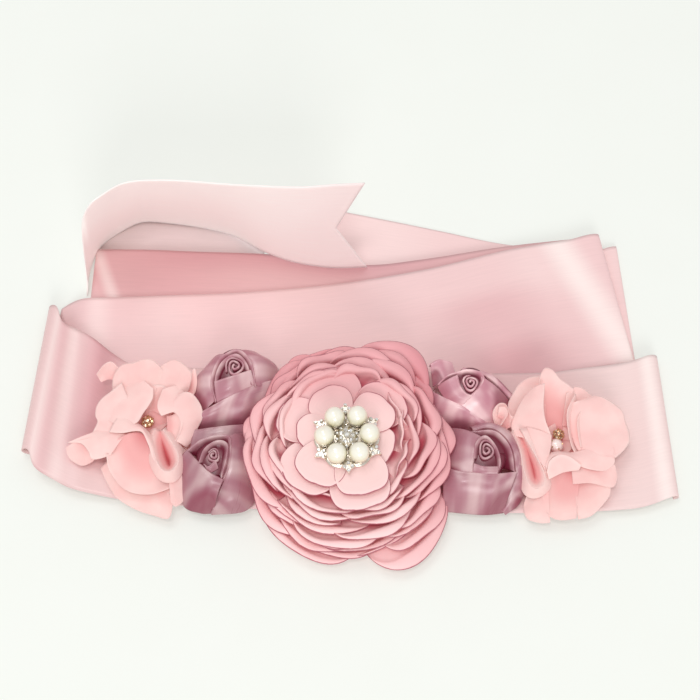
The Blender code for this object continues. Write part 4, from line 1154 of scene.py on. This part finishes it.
RIGHT_LOWER = [
    Sheer([(92, -2, 7.2), (84.4, 6, 7), (76.6, -2, 7.2), (84.4, -10, 7.2), (92, -2, 7.2)],
          loop(84.4, -1.5, 5.6, 86, 0, 83, -3), 0, 2.8, 0.3),
    Sheer([(66, 6, 6), (70, 17, 7), (79, 21, 8), (90, 18, 8), (100, 13, 7), (107, 5, 6), (107, -5, 5)],
          [(82, 1, 5), (83, 3, 5), (85, 3, 5), (87, 2, 5), (88, 0, 5)], 0.5, 1, 0.5),
    Sheer(loop(84.5, -2, 5.4, 90, 4, 79, -8),
          loop(84.5, -2, 5, 85.5, -1, 83.5, -3), -0.5, 7, 0.1),
    Sheer(loop(85, -3, 5.6, 91, 4, 79, -10),
          loop(85, -3, 0.5, 88, 1, 81, -7), 0, 3, 0.1),
    Sheer([(107, -5, 5), (102, -15, 4), (96, -26, 3), (88, -30, 3), (80, -28, 3), (74, -18, 4),
           (68, -8, 5)],
          [(88, 0, 5), (87, -3, 5), (85, -4, 5), (83, -3, 5), (82, -1, 5)], 0.5, 1, 0.5),
    Sheer([(64.6, 7, 8), (64.6, 14, 9), (67.6, 20, 9), (72, 24.2, 9), (76, 25.6, 9), (80, 25, 9)],
          [(76, 4, 7), (78, 5, 7), (80, 6, 7)], 0.8, 0.8, 0.4),
    Sheer([(59, 2.6, 9), (57.6, 8, 12), (60, 11.6, 13), (63, 11.6, 13), (64.4, 8, 12), (66, 6.6, 10.6)],
          [(62, 1, 8), (63, 2, 8), (64.6, 3, 8.6), (66.4, 3, 9)], -0.8, 1.6, 0.2),
    Sheer([(60.2, 10.2, 13.6), (62.8, 9.6, 14.2), (63.6, 7, 13.8), (62.2, 4.6, 12.6), (61, 3, 11)],
          [(59.6, 6.6, 10.8), (60.8, 6.4, 10.4), (61.4, 5.6, 10), (60.8, 4.4, 9.6),
           (60, 3, 9)], 0.4, 2.6, 0.2),
    Sheer([(88, 16.6, 12), (92, 19.6, 12), (96, 19, 11.4), (99.6, 16, 11)],
          [(86, 4, 7.6), (88, 4, 7.6), (90, 3, 7.6)], 0.8, 0.8, 0.4),
    Sheer([(106, -13, 8), (107, -18, 6.6), (104.6, -21.6, 5.8), (96, -20.4, 7.2), (88.6, -21, 8)],
          [(103, -12, 8), (98, -13, 9), (92, -13.6, 10), (88, -14, 10.4)], 0.6, 1.2, 0.3),
    Sheer([(104, -21, 5.4), (103.8, -24.6, 4.2), (100.4, -28.6, 3.2), (96, -32.4, 2.2), (90.6, -33.8, 2)],
          [(99, -18, 6.2), (95, -18.4, 6.2), (92, -19, 6.2), (89, -20, 6)], 0.4, 1, 0.3),
    Sheer([(77.4, -18.4, 9.4), (76.6, -25, 6.2), (77.4, -30, 4.2), (80, -33.4, 3.2), (84.4, -34.4, 2.8),
           (90, -33.6, 3)],
          [(80, -16.6, 10.4), (82.6, -16, 10), (86, -15.6, 10), (89, -15, 10),
           (92, -15.4, 10)], -1.4, 1.3, 0.3),
    Sheer([(71.6, -22, 5), (69.4, -28, 2), (70.4, -33, 1.2), (75.6, -35, 1.2), (79.6, -35, 1.5)],
          [(75, -20, 7), (77, -21, 7), (79, -22, 7)], 0.4, 0.9, 0.3),
]
RIGHT_UPPER = [
    Sheer([(76.6, 18, 12), (78, 25, 13), (80, 27.4, 14), (83, 26.2, 14), (86, 22.6, 13), (91, 18, 12.4)],
          [(78, -4, 5.6), (82, -5, 5.2), (87, -5, 5.2), (91, -4, 5.6)], -1.4, 1, 0.3),
    Sheer([(79.4, 20.6, 13.6), (78.4, 12, 14.8), (78.2, 4, 14.6), (80.6, -1.4, 11.8), (80, -6, 11)],
          [(74, 18.6, 12.6), (70, 14, 12), (67, 8.6, 11), (65.2, 4, 10), (65.6, -1, 10)], 1, 0.4, 0.3),
    Sheer([(80.8, -1.4, 11.6), (80.4, -6, 11.4), (79, -12, 11.6), (78, -18, 11)],
          [(71, 2, 12), (73.6, -6, 12), (75.6, -13, 12)], 0.8, 0.8, 0.2),
    Sheer(RIGHT_POCKET,
          [(68.6, 2, 8.6), (71.4, -6, 8), (73, -12, 7.2), (73.8, -16.4, 6.8), (73.9, -17.8, 6.8),
           (73.4, -16, 6.8), (72.2, -11, 7.4), (70.6, -5, 8.2), (67.8, 2, 8.8)], 0, 4.5, 0.2),
    Sheer(RIGHT_POCKET,
          [(63.8, 0, 7), (66, -9, 7), (67, -17, 6.6), (69.4, -24.6, 6), (74.4, -26.2, 6),
           (79.6, -22.4, 6.6), (79.8, -16, 8), (77.8, -7, 9.4), (73.4, 2, 10.6)], 0.4, 0.7, 0.2),
    Sheer([(93, 13, 12.6), (97.6, 15, 13), (101.6, 14.8, 13), (106.2, 12.6, 12.2), (109.6, 9, 11.2),
           (111, 6, 10.4), (113, 2, 9.6), (112.8, -3, 9.2), (110, -7, 9), (106, -10.4, 9)],
          [(89.6, 12, 12), (88.6, 8, 12), (88.6, 3, 12), (89, -1, 11.6), (90, -5, 11),
           (92, -9, 10)], 1.4, 0.4, 0.6),
    Sheer([(94, 10, 13.8), (91.6, 5, 14.2), (91.2, -1, 13.8), (92.2, -7, 12)],
          [(97, 8, 9), (95, 4, 8.6), (94.6, -1, 8.4), (95.4, -6, 8)], 0.2, 1.2, 0.2),
    Sheer([(91.4, 16, 13.6), (87.6, 8, 14.8), (87.2, 1, 14.4), (88.4, -6, 12.4), (90.6, -10.4, 10.6)],
          [(92.4, 12, 10), (90.8, 6, 9), (90.4, 1, 8.6), (91.4, -5, 8), (93, -8, 8)], 0.2, 1.4, 0.2),
    Sheer([(105.6, -9, 9.4), (105.6, -12.6, 8.6), (102, -15.6, 8.6), (96, -15.8, 10.2), (91, -14.4, 11.2),
           (86.6, -11.8, 12.6), (82.4, -10.8, 13.4), (79.2, -13, 13.2), (78, -16.4, 12.4)],
          [(106, -4, 9.6), (101, -5, 10.4), (96, -6.4, 11), (92, -8, 11), (88, -8.6, 10.6),
           (83, -7.6, 9.4), (79, -9, 9), (76.4, -13, 9)], 1, 0.6, 0.3),
    Sheer([(78, -17.4, 12), (79.2, -13.2, 13.4), (82.8, -10.8, 14), (87.2, -11.5, 13.6), (92, -14.6, 12.2)],
          [(78.8, -20, 10.4), (81.6, -18.6, 10.6), (84.6, -17.2, 10.6), (87.4, -16.6, 10.6),
           (91, -16.2, 10.8)], 0.3, 0.2, 0.1),
]


def sheer_patch(sheer, dice):
    """A petal of sheer cloth, ruffled towards its rim. U runs along the rim, V in from it."""
    rim, root = spline(sheer.rim, SHEER_COLUMNS + 1), spline(sheer.root, SHEER_COLUMNS + 1)
    t = np.linspace(0, 1, SHEER_ROWS + 1)[:, None]
    points = root * (1 - t[..., None]) + rim * t[..., None]
    run = run_of(rim)
    off = np.linalg.norm(rim - root, axis=1)
    out = (rim - root)[:, :2] / np.maximum(off, 1e-6)[:, None]
    first, second = dice.uniform(0, 6), dice.uniform(0, 6)
    fine, wide = np.sin(run / FINE_RUFFLE + first), np.sin(run / WIDE_RUFFLE + second)
    wave = t**3 * (0.6 * fine + wide) * sheer.ruffle
    deep = min(0.12 * sheer.ruffle * off.mean() / 4, 0.5)
    fold = np.sin(pi * t) * np.sin(run / FOLD_RUN + second) * deep
    points[..., 2] += wave + fold + sheer.swell * np.sin(pi * t)
    points[..., :2] += (wave * 0.5)[..., None] * out
    points[..., 2] = np.maximum(points[..., 2], SHEER_FLOOR)
    uv = np.stack([np.broadcast_to(run, wave.shape), (1 - t) * off * sheer.depth], axis=2)
    return front_patch(points, uv)


def chiffon_cloth(layer, cover):
    """Sheer cloth, paler along its rim, with painted shade in the folds, deeper painted shade in its pockets
    and a faint painted glow. UV is in metres, V from the rim.
    """
    made = Shader("chiffon_" + layer)
    uv = made.uv()
    _, v, _ = made.parts(uv)
    cloud = made.noise(120.0, 2.0, made.place())
    out = made.mix(made.ramp(cloud, 0.3, 0.7), CHIFFON_FACE, CHIFFON_BLUSH)
    out = made.mix(made.ramp(v, *CHIFFON_FOLD_SHADE_FROM), out, CHIFFON_FOLD_SHADE)
    out = made.mix(made.ramp(v, *CHIFFON_POCKET_SHADE_FROM), out, CHIFFON_POCKET_SHADE)
    made.colour(made.mix(made.ramp(v, 0.0, CHIFFON_HEM, 0.4, 0.0), out, CHIFFON_RIM))
    made.bump(made.noise(1.0, 2.0, made.scaled(uv, CHIFFON_GRAINS)), CHIFFON_GRAIN_HEIGHT, 0.6)
    made.set(Roughness=0.75, Alpha=cover, Sheen_Weight=0.2, Specular_IOR_Level=0.1)
    # A faint painted glow, standing in for light coming through the sheer cloth
    made.set(Emission_Color=CHIFFON_PAINTED_GLOW, Emission_Strength=0.04)
    return made.material


def make_chiffon_flowers():
    cloths = {layer: chiffon_cloth(layer, cover) for layer, cover in CHIFFON_COVERS.items()}
    for side, layer, petals in (
        ("left", "lower", LEFT_LOWER), ("left", "upper", LEFT_UPPER),
        ("right", "lower", RIGHT_LOWER), ("right", "upper", RIGHT_UPPER),
    ):
        dice = Random(side + layer)
        patches = [sheer_patch(petal, dice) for petal in petals]
        name, node = f"chiffon_petals_{side}_{layer}", f"chiffon_{side}_{layer}"
        made = add_cloth(name, patches, cloths[layer], node, CHIFFON_WALL)


# Metal, pearls and stones

# A ring of a cut stone's corners: its share of the radius, its rise as a share of it, and its turn
Facets = namedtuple("Facets", "share rise off")
STONE_TABLE = Facets(0.52, 0.42, 0.0)
STONE_GIRDLE = Facets(1.0, 0.0, 0.5)
STONE_POINT = Facets(0.1, -0.55, 0.0)
STONE_SIDES = 8
WIRE_SIDES = 8
SLAB_TAPER = 2.2
# UV on a turned shape: how far it runs round it, and over one row of its profile
UV_ROUND = 4
UV_ROW = 0.125


def around(centre, ring, angle, side=0.0):
    """A place on a ring round a centre, or to the side of it."""
    c, s = cos(angle), sin(angle)
    return (centre[0] + ring * c - side * s, centre[1] + ring * s + side * c)


class Hard:
    """A hard piece, put together from turned and faceted shapes given in the front panel's plane."""

    def __init__(self):
        self.points, self.faces, self.pairs, self.smooth = [], [], [], []

    def face(self, corners, pairs, smooth=False):
        self.faces.append(corners)
        self.pairs.extend(pairs)
        self.smooth.append(smooth)

    def turned(self, at, profile, steps, lobe=0.0, lobes=0, turn=0.0):
        """A closed shape turned round a point from radii and heights. Lobes scallop it."""
        first = len(self.points)
        for radius, high in profile:
            for k in range(steps):
                angle = turn + tau * k / steps
                wide = radius * (1 + lobe * cos(lobes * (angle - turn)))
                self.points.append((*around(at, wide, angle), high))
        for row in range(len(profile) - 1):
            for k in range(steps):
                a, b = first + row * steps + k, first + row * steps + (k + 1) % steps
                u, v = k / steps * UV_ROUND, row * UV_ROW
                u_next, v_next = u + UV_ROUND / steps, v + UV_ROW
                pairs = [(u, v), (u, v_next), (u_next, v_next), (u_next, v)]
                self.face([a, a + steps, b + steps, b], pairs, True)
        return self

    def ball(self, at, radius, high, steps, rows):
        turns = [pi * i / rows for i in range(rows + 1)]
        profile = [(radius * sin(turn) + 1e-4, high - radius * cos(turn)) for turn in turns]
        return self.turned(at, profile, steps)

    def stone(self, at, radius, high, turn):
        """A cut stone: a table, a crown and a cone under them, each facet flat."""
        corners = []
        for share, rise, off in (STONE_TABLE, STONE_GIRDLE, STONE_POINT):
            ways = [turn + tau * (k + off) / STONE_SIDES for k in range(STONE_SIDES)]
            corners.append([(*around(at, radius * share, way), high + radius * rise) for way in ways])
        table, girdle, point = corners
        shapes = [table]
        for k in range(STONE_SIDES):
            n = (k + 1) % STONE_SIDES
            shapes.append([girdle[k], table[n], table[k]])
            shapes.append([girdle[k], girdle[n], table[n]])
            shapes.append([point[k], point[n], girdle[n], girdle[k]])
        # Every facet has a UV of its own, which its painted glint is drawn from
        for shape in shapes:
            first = len(self.points)
            self.points.extend(shape)
            value = 0.37 * len(self.faces) + 0.61 * turn
            self.face(list(range(first, first + len(shape))), [(value, 0.5)] * len(shape))
        return self

    def prism(self, rings, smooth=False):
        """A closed shape through rings of points, each over the one before."""
        first, count = len(self.points), len(rings[0])
        for ring in rings:
            self.points.extend(ring)
        for row in range(len(rings) - 1):
            for k in range(count):
                a, b = first + row * count + k, first + row * count + (k + 1) % count
                self.face([a, b, b + count, a + count], [(0, 0), (1, 0), (1, 1), (0, 1)], smooth)
        end = len(self.points)
        self.face(list(range(end - count, end)), [(0, 0)] * count)
        self.face(list(range(first + count - 1, first - 1, -1)), [(0, 0)] * count)

    def slab(self, outline, low, high, bevel):
        """A flat plate with the outline given, its upper edge bevelled."""
        outline = np.array(outline)
        middle = outline.mean(axis=0)
        levels = ((1.0, low), (1.0, high - bevel), (1 - bevel / SLAB_TAPER, high))
        self.prism([[(*(middle + (at - middle) * share), z) for at in outline] for share, z in levels])

    def wire(self, start, end, radius):
        """A straight round wire."""
        way = (Vector(end) - Vector(start)).to_track_quat("Z", "Y")
        angles = [tau * k / WIRE_SIDES for k in range(WIRE_SIDES)]
        spokes = [way @ Vector((radius * cos(angle), radius * sin(angle), 0.0)) for angle in angles]
        self.prism([[tuple(Vector(at) + spoke) for spoke in spokes] for at in (start, end)], True)

    def finish(self, name, material, slot, node=None):
        points = on_front(self.points)
        return add_mesh(name, points, self.faces, self.pairs, self.smooth, material, node)


def pearl_cover(name, cream, blush, foot, rows):
    """Nacre: a soft cream lustre under a clear coat, a little cloudy, with painted shade, a little yellow,
    towards its foot.
    """
    made = Shader(name)
    cloud = made.noise(260.0, 2.0, made.place())
    nacre = made.mix(made.ramp(cloud, 0.3, 0.7), cream, blush)
    _, v, _ = made.parts(made.uv())
    # Painted shade towards the pearl's foot
    made.colour(made.mix(made.ramp(v, 0.4 * rows * UV_ROW, 0.86 * rows * UV_ROW), foot, nacre))
    made.set(Roughness=0.3, Coat_Weight=1.0, Coat_Roughness=0.05, Coat_IOR=1.8, Specular_IOR_Level=0.6)
    return made.material


def stone_cover(name, dark, mid, light):
    """Rhinestone: every facet is painted with a glint of its own, a painted reflection drawn at random from
    dark to light.
    """
    made = Shader(name)
    inputs = {"Vector": made.uv()}
    glint = made.node("ShaderNodeTexWhiteNoise", inputs, noise_dimensions="3D").outputs["Value"]
    warm = made.mix(made.ramp(glint, 0.0, 0.35), dark, mid)
    made.colour(made.mix(made.ramp(glint, 0.4, 0.8), warm, light))
    made.set(Metallic=0.75, Roughness=0.08, Coat_Weight=1.0, Coat_Roughness=0.02)
    return made.material


def metal_cover(name, bright, dull):
    made = Shader(name)
    grime = made.noise(700.0, 3.0, made.place())
    made.colour(made.mix(made.ramp(grime, 0.35, 0.7), bright, dull))
    made.rough(made.ramp(grime, 0.3, 0.7, 0.16, 0.3))
    made.set(Metallic=1.0)
    return made.material


# Six pearls and, between them, six tips stand round the cluster, each on a circle of its own
BROOCH_STONES = 6
PEARL_RING = 8.8
TIP_RING = 12.0
FIRST_PEARL = radians(3)
FIRST_TIP = radians(33)
PEARL_RADIUS = 4.0
# How far a pearl is clear of the plate
PEARL_GAP = 0.3
# How finely the pearls and the metal are turned
PEARL_ROWS, PEARL_STEPS = 32, 48
BASE_STEPS, CUP_STEPS, DISH_STEPS = 96, 32, 48
# How deep a metal base is scalloped, as a share of its radius, and how often the dish is
SCALLOP = 0.05
DISH_SCALLOPS = 8
# Radii and heights of the plate's scalloped base, a pearl's cup and the dish of the cluster
BASE = [(0.01, 25.1), (9.0, 25.1), (11.6, 25.1), (12.2, 25.3), (12.3, 25.7), (11.9, 26.0), (10.6, 26.1),
        (0.01, 26.2)]
PEARL_CUP = [(2.6, 26.0), (3.1, 26.4), (3.5, 27.2), (3.5, 27.7), (3.25, 27.7), (3.05, 27.2), (2.6, 26.6)]
DISH = [(0.01, 26.1), (3.2, 26.2), (3.9, 27.0), (4.2, 28.2), (4.0, 28.6), (2.4, 29.2), (0.01, 29.6)]
# A tip's setting, how far out and to the side: a point outwards, two at the sides and a blunt one inwards
KITE = [(3.1, 0.0), (1.1, 1.1), (0.0, 2.9), (-1.6, 1.6), (-2.6, 0.0), (-1.6, -1.6), (0.0, -2.9), (1.1, -1.1)]
KITE_LOW, KITE_HIGH, KITE_BEVEL = 26.0, 27.5, 0.25
# The rod from the cluster to a tip: where it starts and ends, its height and its radius
SPOKE = (3.0, 10.2, 27.2, 0.5)
TIP_HIGH = 27.9
# A stone of a tip: how far out and to the side of the tip's middle, and its radius
TipStone = namedtuple("TipStone", "out side radius")
TIP_STONES = [
    TipStone(1.7, 0.0, 0.75), TipStone(0.0, 1.5, 0.85), TipStone(0.0, -1.5, 0.85),
    TipStone(-1.4, 0.0, 0.85),
]
# The cluster: rings of stones, how many each has, their height and radius, and the first one's angle
StoneRing = namedtuple("StoneRing", "ring count high radius first")
CLUSTER = [
    StoneRing(0.0, 1, 30.1, 1.5, 0.2), StoneRing(2.5, 7, 29.5, 1.0, 0.0),
    StoneRing(4.0, 10, 28.5, 0.8, 0.3),
]


def make_brooch():
    centre = BROOCH_CENTRE
    silver = metal_cover("silver", srgb(244, 236, 224), srgb(222, 208, 190))
    stones = stone_cover("rhinestone", srgb(196, 186, 174), srgb(240, 237, 230), srgb(255, 255, 255))
    pearl = pearl_cover("pearl", srgb(247, 243, 230), srgb(242, 237, 220), srgb(228, 220, 184), PEARL_ROWS)
    metal = Hard()
    metal.turned(centre, BASE, BASE_STEPS, SCALLOP, BROOCH_STONES, FIRST_PEARL)
    pearl_high = BROOCH_SEAT + PLATE_WALL + PEARL_RADIUS + PEARL_GAP
    inner, outer, high, thick = SPOKE
    for i in range(BROOCH_STONES):
        at = around(centre, PEARL_RING, FIRST_PEARL + tau * i / BROOCH_STONES)
        metal.turned(at, PEARL_CUP, CUP_STEPS)
        ball = Hard().ball(at, PEARL_RADIUS, pearl_high, PEARL_STEPS, PEARL_ROWS)
        ball.finish(f"pearl_{i + 1}", pearl, "pearl", f"brooch_pearl_{i + 1}")
        way = FIRST_TIP + tau * i / BROOCH_STONES
        kite = [around(centre, TIP_RING + out, way, side) for out, side in KITE]
        metal.slab(kite, KITE_LOW, KITE_HIGH, KITE_BEVEL)
        metal.wire((*around(centre, inner, way), high), (*around(centre, outer, way), high), thick)
        tip = Hard()
        for out, side, radius in TIP_STONES:
            tip.stone(around(centre, TIP_RING + out, way, side), radius, TIP_HIGH, way + out + side)
        tip.finish(f"tip_stones_{i + 1}", stones, "rhinestone", f"brooch_tip_{i + 1}")
    metal.turned(centre, DISH, DISH_STEPS, SCALLOP, DISH_SCALLOPS, FIRST_TIP)
    cluster = Hard()
    for ring, count, high, radius, first in CLUSTER:
        for k in range(count):
            angle = first + tau * k / count
            cluster.stone(around(centre, ring, angle), radius, high, angle)
    cluster.finish("cluster_stones", stones, "rhinestone", "brooch_cluster")
    metal.finish("brooch_setting", silver, "silver", "brooch_plate")


# A bead at the middle of a chiffon flower: the CAD node it stands for, where it lies, its height and radius
Bead = namedtuple("Bead", "node x y z radius")
STONE_BEADS = [
    Bead("left_rhinestone", -82.2, 6.0, 7.2, 2.3),
    Bead("right_rhinestone", 84.4, 0.5, 6.8, 2.2),
]
PEARL_BEAD = Bead("right_pearl", 82.9, -5.1, 9.2, 2.9)
BEAD_ROWS, BEAD_STEPS, BOWL_STEPS = 24, 40, 24
BEAD_STONES = 6
BEAD_PRONGS = 5
PRONG_WALL = 0.2
# The bowl of a stone bead, as shares of its radius: how wide and how far over its middle
BOWL = [(0.0, -1.0), (0.8, -0.8), (1.0, 0.0), (0.9, 0.3), (0.0, 0.4)]


def make_beads():
    """The beads and their fine metal, which are all placed and sized by a bead's radius."""
    stones = stone_cover("warm_rhinestone", srgb(170, 122, 88), srgb(222, 182, 140), srgb(255, 236, 206))
    gold = metal_cover("gold", srgb(226, 190, 140), srgb(196, 152, 104))
    metal = Hard()
    for node, x, y, z, r in STONE_BEADS:
        at = (x, y)
        bowl = [(max(wide * r, 0.01), z + up * r) for wide, up in BOWL]
        metal.turned(at, bowl, BOWL_STEPS, SCALLOP, BEAD_STONES)
        cluster = Hard().stone(at, 0.5 * r, z + 0.75 * r, 0.3)
        for k in range(BEAD_STONES):
            angle = tau * k / BEAD_STONES
            cluster.stone(around(at, 0.78 * r, angle), 0.36 * r, z + 0.45 * r, angle)
            metal.ball(around(at, 1.02 * r, angle + pi / BEAD_STONES), 0.16 * r, z + 0.5 * r, 10, 6)
        cluster.finish(node + "_stones", stones, "rhinestone", node)
    node, x, y, z, r = PEARL_BEAD
    at = (x, y)
    # The blush pearl's cream, its clouds, and the painted shade towards its foot
    colours = srgb(250, 230, 224), srgb(242, 214, 208), srgb(232, 180, 178)
    blush = pearl_cover("blush_pearl", *colours, BEAD_ROWS)
    Hard().ball(at, r, z, BEAD_STEPS, BEAD_ROWS).finish("blush_pearl_bead", blush, "pearl", node)
    for k in range(BEAD_PRONGS):
        angle = tau * k / BEAD_PRONGS
        foot, tip = around(at, 0.98 * r, angle), around(at, 0.75 * r, angle)
        metal.wire((*foot, z - 0.3 * r), (*tip, z + 0.8 * r), PRONG_WALL)
    metal.finish("bead_settings", gold, "silver")


# Hidden layers of ribbon

# Their outline, the point that they shrink towards, and the height of each sheet
CORE_CORNERS = [
    (-98.0, 43.0), (-36.0, 41.0), (-34.0, 27.0), (95.0, 27.0), (102.5, -16.0), (116.0, -18.0),
    (118.0, -62.0), (84.0, -71.0), (0.0, -71.5), (-70.0, -68.5), (-96.0, -61.0), (-104.0, -36.0),
]
CORE_MIDDLE = (-50.0, -10.0)
CORE_SHEETS = (0.25, 0.65, 1.05, 1.45, 1.85)
CORE_STEPS = 10
CORE_SIDE_STEPS = 12
CORE_WALL = 0.2
# The most that a sheet shrinks, and how high its waves are
CORE_SLIP = 0.02
CORE_WAVE = 0.08


def make_hidden_layers():
    """The layers under the panels: flat sheets of ribbon, each a little out of line with the next."""
    dice = Random(5)
    corners = np.array(CORE_CORNERS + CORE_CORNERS[:1])
    sides = zip(corners, corners[1:])
    rim = np.concatenate([np.linspace(a, b, CORE_SIDE_STEPS, endpoint=False) for a, b in sides])
    rim = np.concatenate([rim, rim[:1]])
    middle = np.array(CORE_MIDDLE)
    share = np.linspace(0.02, 1, CORE_STEPS + 1)[:, None, None]
    patches = []
    for z in CORE_SHEETS:
        flat = middle + (rim - middle) * share * (1 - dice.uniform(0.0, CORE_SLIP))
        high = z + CORE_WAVE * np.sin(flat[..., :1] / 9 + 7 * z)
        patches.append(Patch(np.concatenate([flat, high], axis=2), flat * MM))
    node = "ribbon_hidden_layers"
    made = add_cloth("hidden_layers", patches, ribbon_satin, node, CORE_WALL)
    cut_ribbon(made, patches)


# Stage

# The floor and the camera's distance in metres, its sensor and focal length in millimetres
FLOOR_SIDE = 6.0
CAMERA_ELEVATION = radians(62)
CAMERA_DISTANCE = 0.6
SENSOR_WIDTH = 36.0
FOCAL_LENGTH = 72.0
SKY_STRENGTH = 0.62
# A round lamp: where it stands and how wide it is, in metres, and its power in watts
Light = namedtuple("Light", "name at size power")
LIGHTS = [
    Light("softbox_above", (-0.5, 0.5, 2.0), 1.0, 7.4),
    Light("softbox_front", (0.2, -2.0, 1.2), 1.0, 15.0),
    Light("window", (-0.2, -0.45, 1.9), 0.3, 7.0),
]


def add_object(name, data):
    made = bpy.data.objects.new(name, data)
    bpy.context.scene.collection.objects.link(made)
    return made


def make_floor():
    bpy.ops.mesh.primitive_plane_add(size=FLOOR_SIDE)
    floor = bpy.context.object
    floor.name = "floor"
    made = Shader("pale_floor")
    grain = made.noise(30.0, 2.0, made.place())
    made.colour(made.mix(grain, srgb(206, 208, 204), srgb(204, 206, 201)))
    made.set(Roughness=0.8, Specular_IOR_Level=0.2, Emission_Color=srgb(244, 247, 240), Emission_Strength=0.3)
    floor.data.materials.append(made.material)


def make_camera():
    lens = bpy.data.cameras.new("view")
    lens.sensor_width = SENSOR_WIDTH
    lens.lens = FOCAL_LENGTH
    camera = add_object("view", lens)
    out = Vector((0.0, -cos(CAMERA_ELEVATION), sin(CAMERA_ELEVATION))) * CAMERA_DISTANCE
    camera.location = out + Vector(SHIFT) * MM
    camera.rotation_euler = (pi / 2 - CAMERA_ELEVATION, 0.0, 0.0)
    bpy.context.scene.camera = camera


def make_light():
    world = bpy.data.worlds.new("studio")
    bpy.context.scene.world = world
    world.use_nodes = True
    sky = world.node_tree.nodes["Background"]
    sky.inputs["Color"].default_value = (1.0, 1.0, 1.0, 1.0)
    sky.inputs["Strength"].default_value = SKY_STRENGTH
    for name, at, size, power in LIGHTS:
        lamp = bpy.data.lights.new(name, "AREA")
        lamp.shape = "DISK"
        lamp.size = size
        lamp.energy = power
        made = add_object(name, lamp)
        made.location = at
        made.rotation_euler = (-Vector(at)).to_track_quat("-Z", "Y").to_euler()
    bpy.context.scene.view_settings.view_transform = "Standard"


make_ribbon()
make_slot_layer()
make_flower()
make_rosettes()
make_chiffon_flowers()
make_brooch()
make_beads()
make_hidden_layers()
make_floor()
make_camera()
make_light()
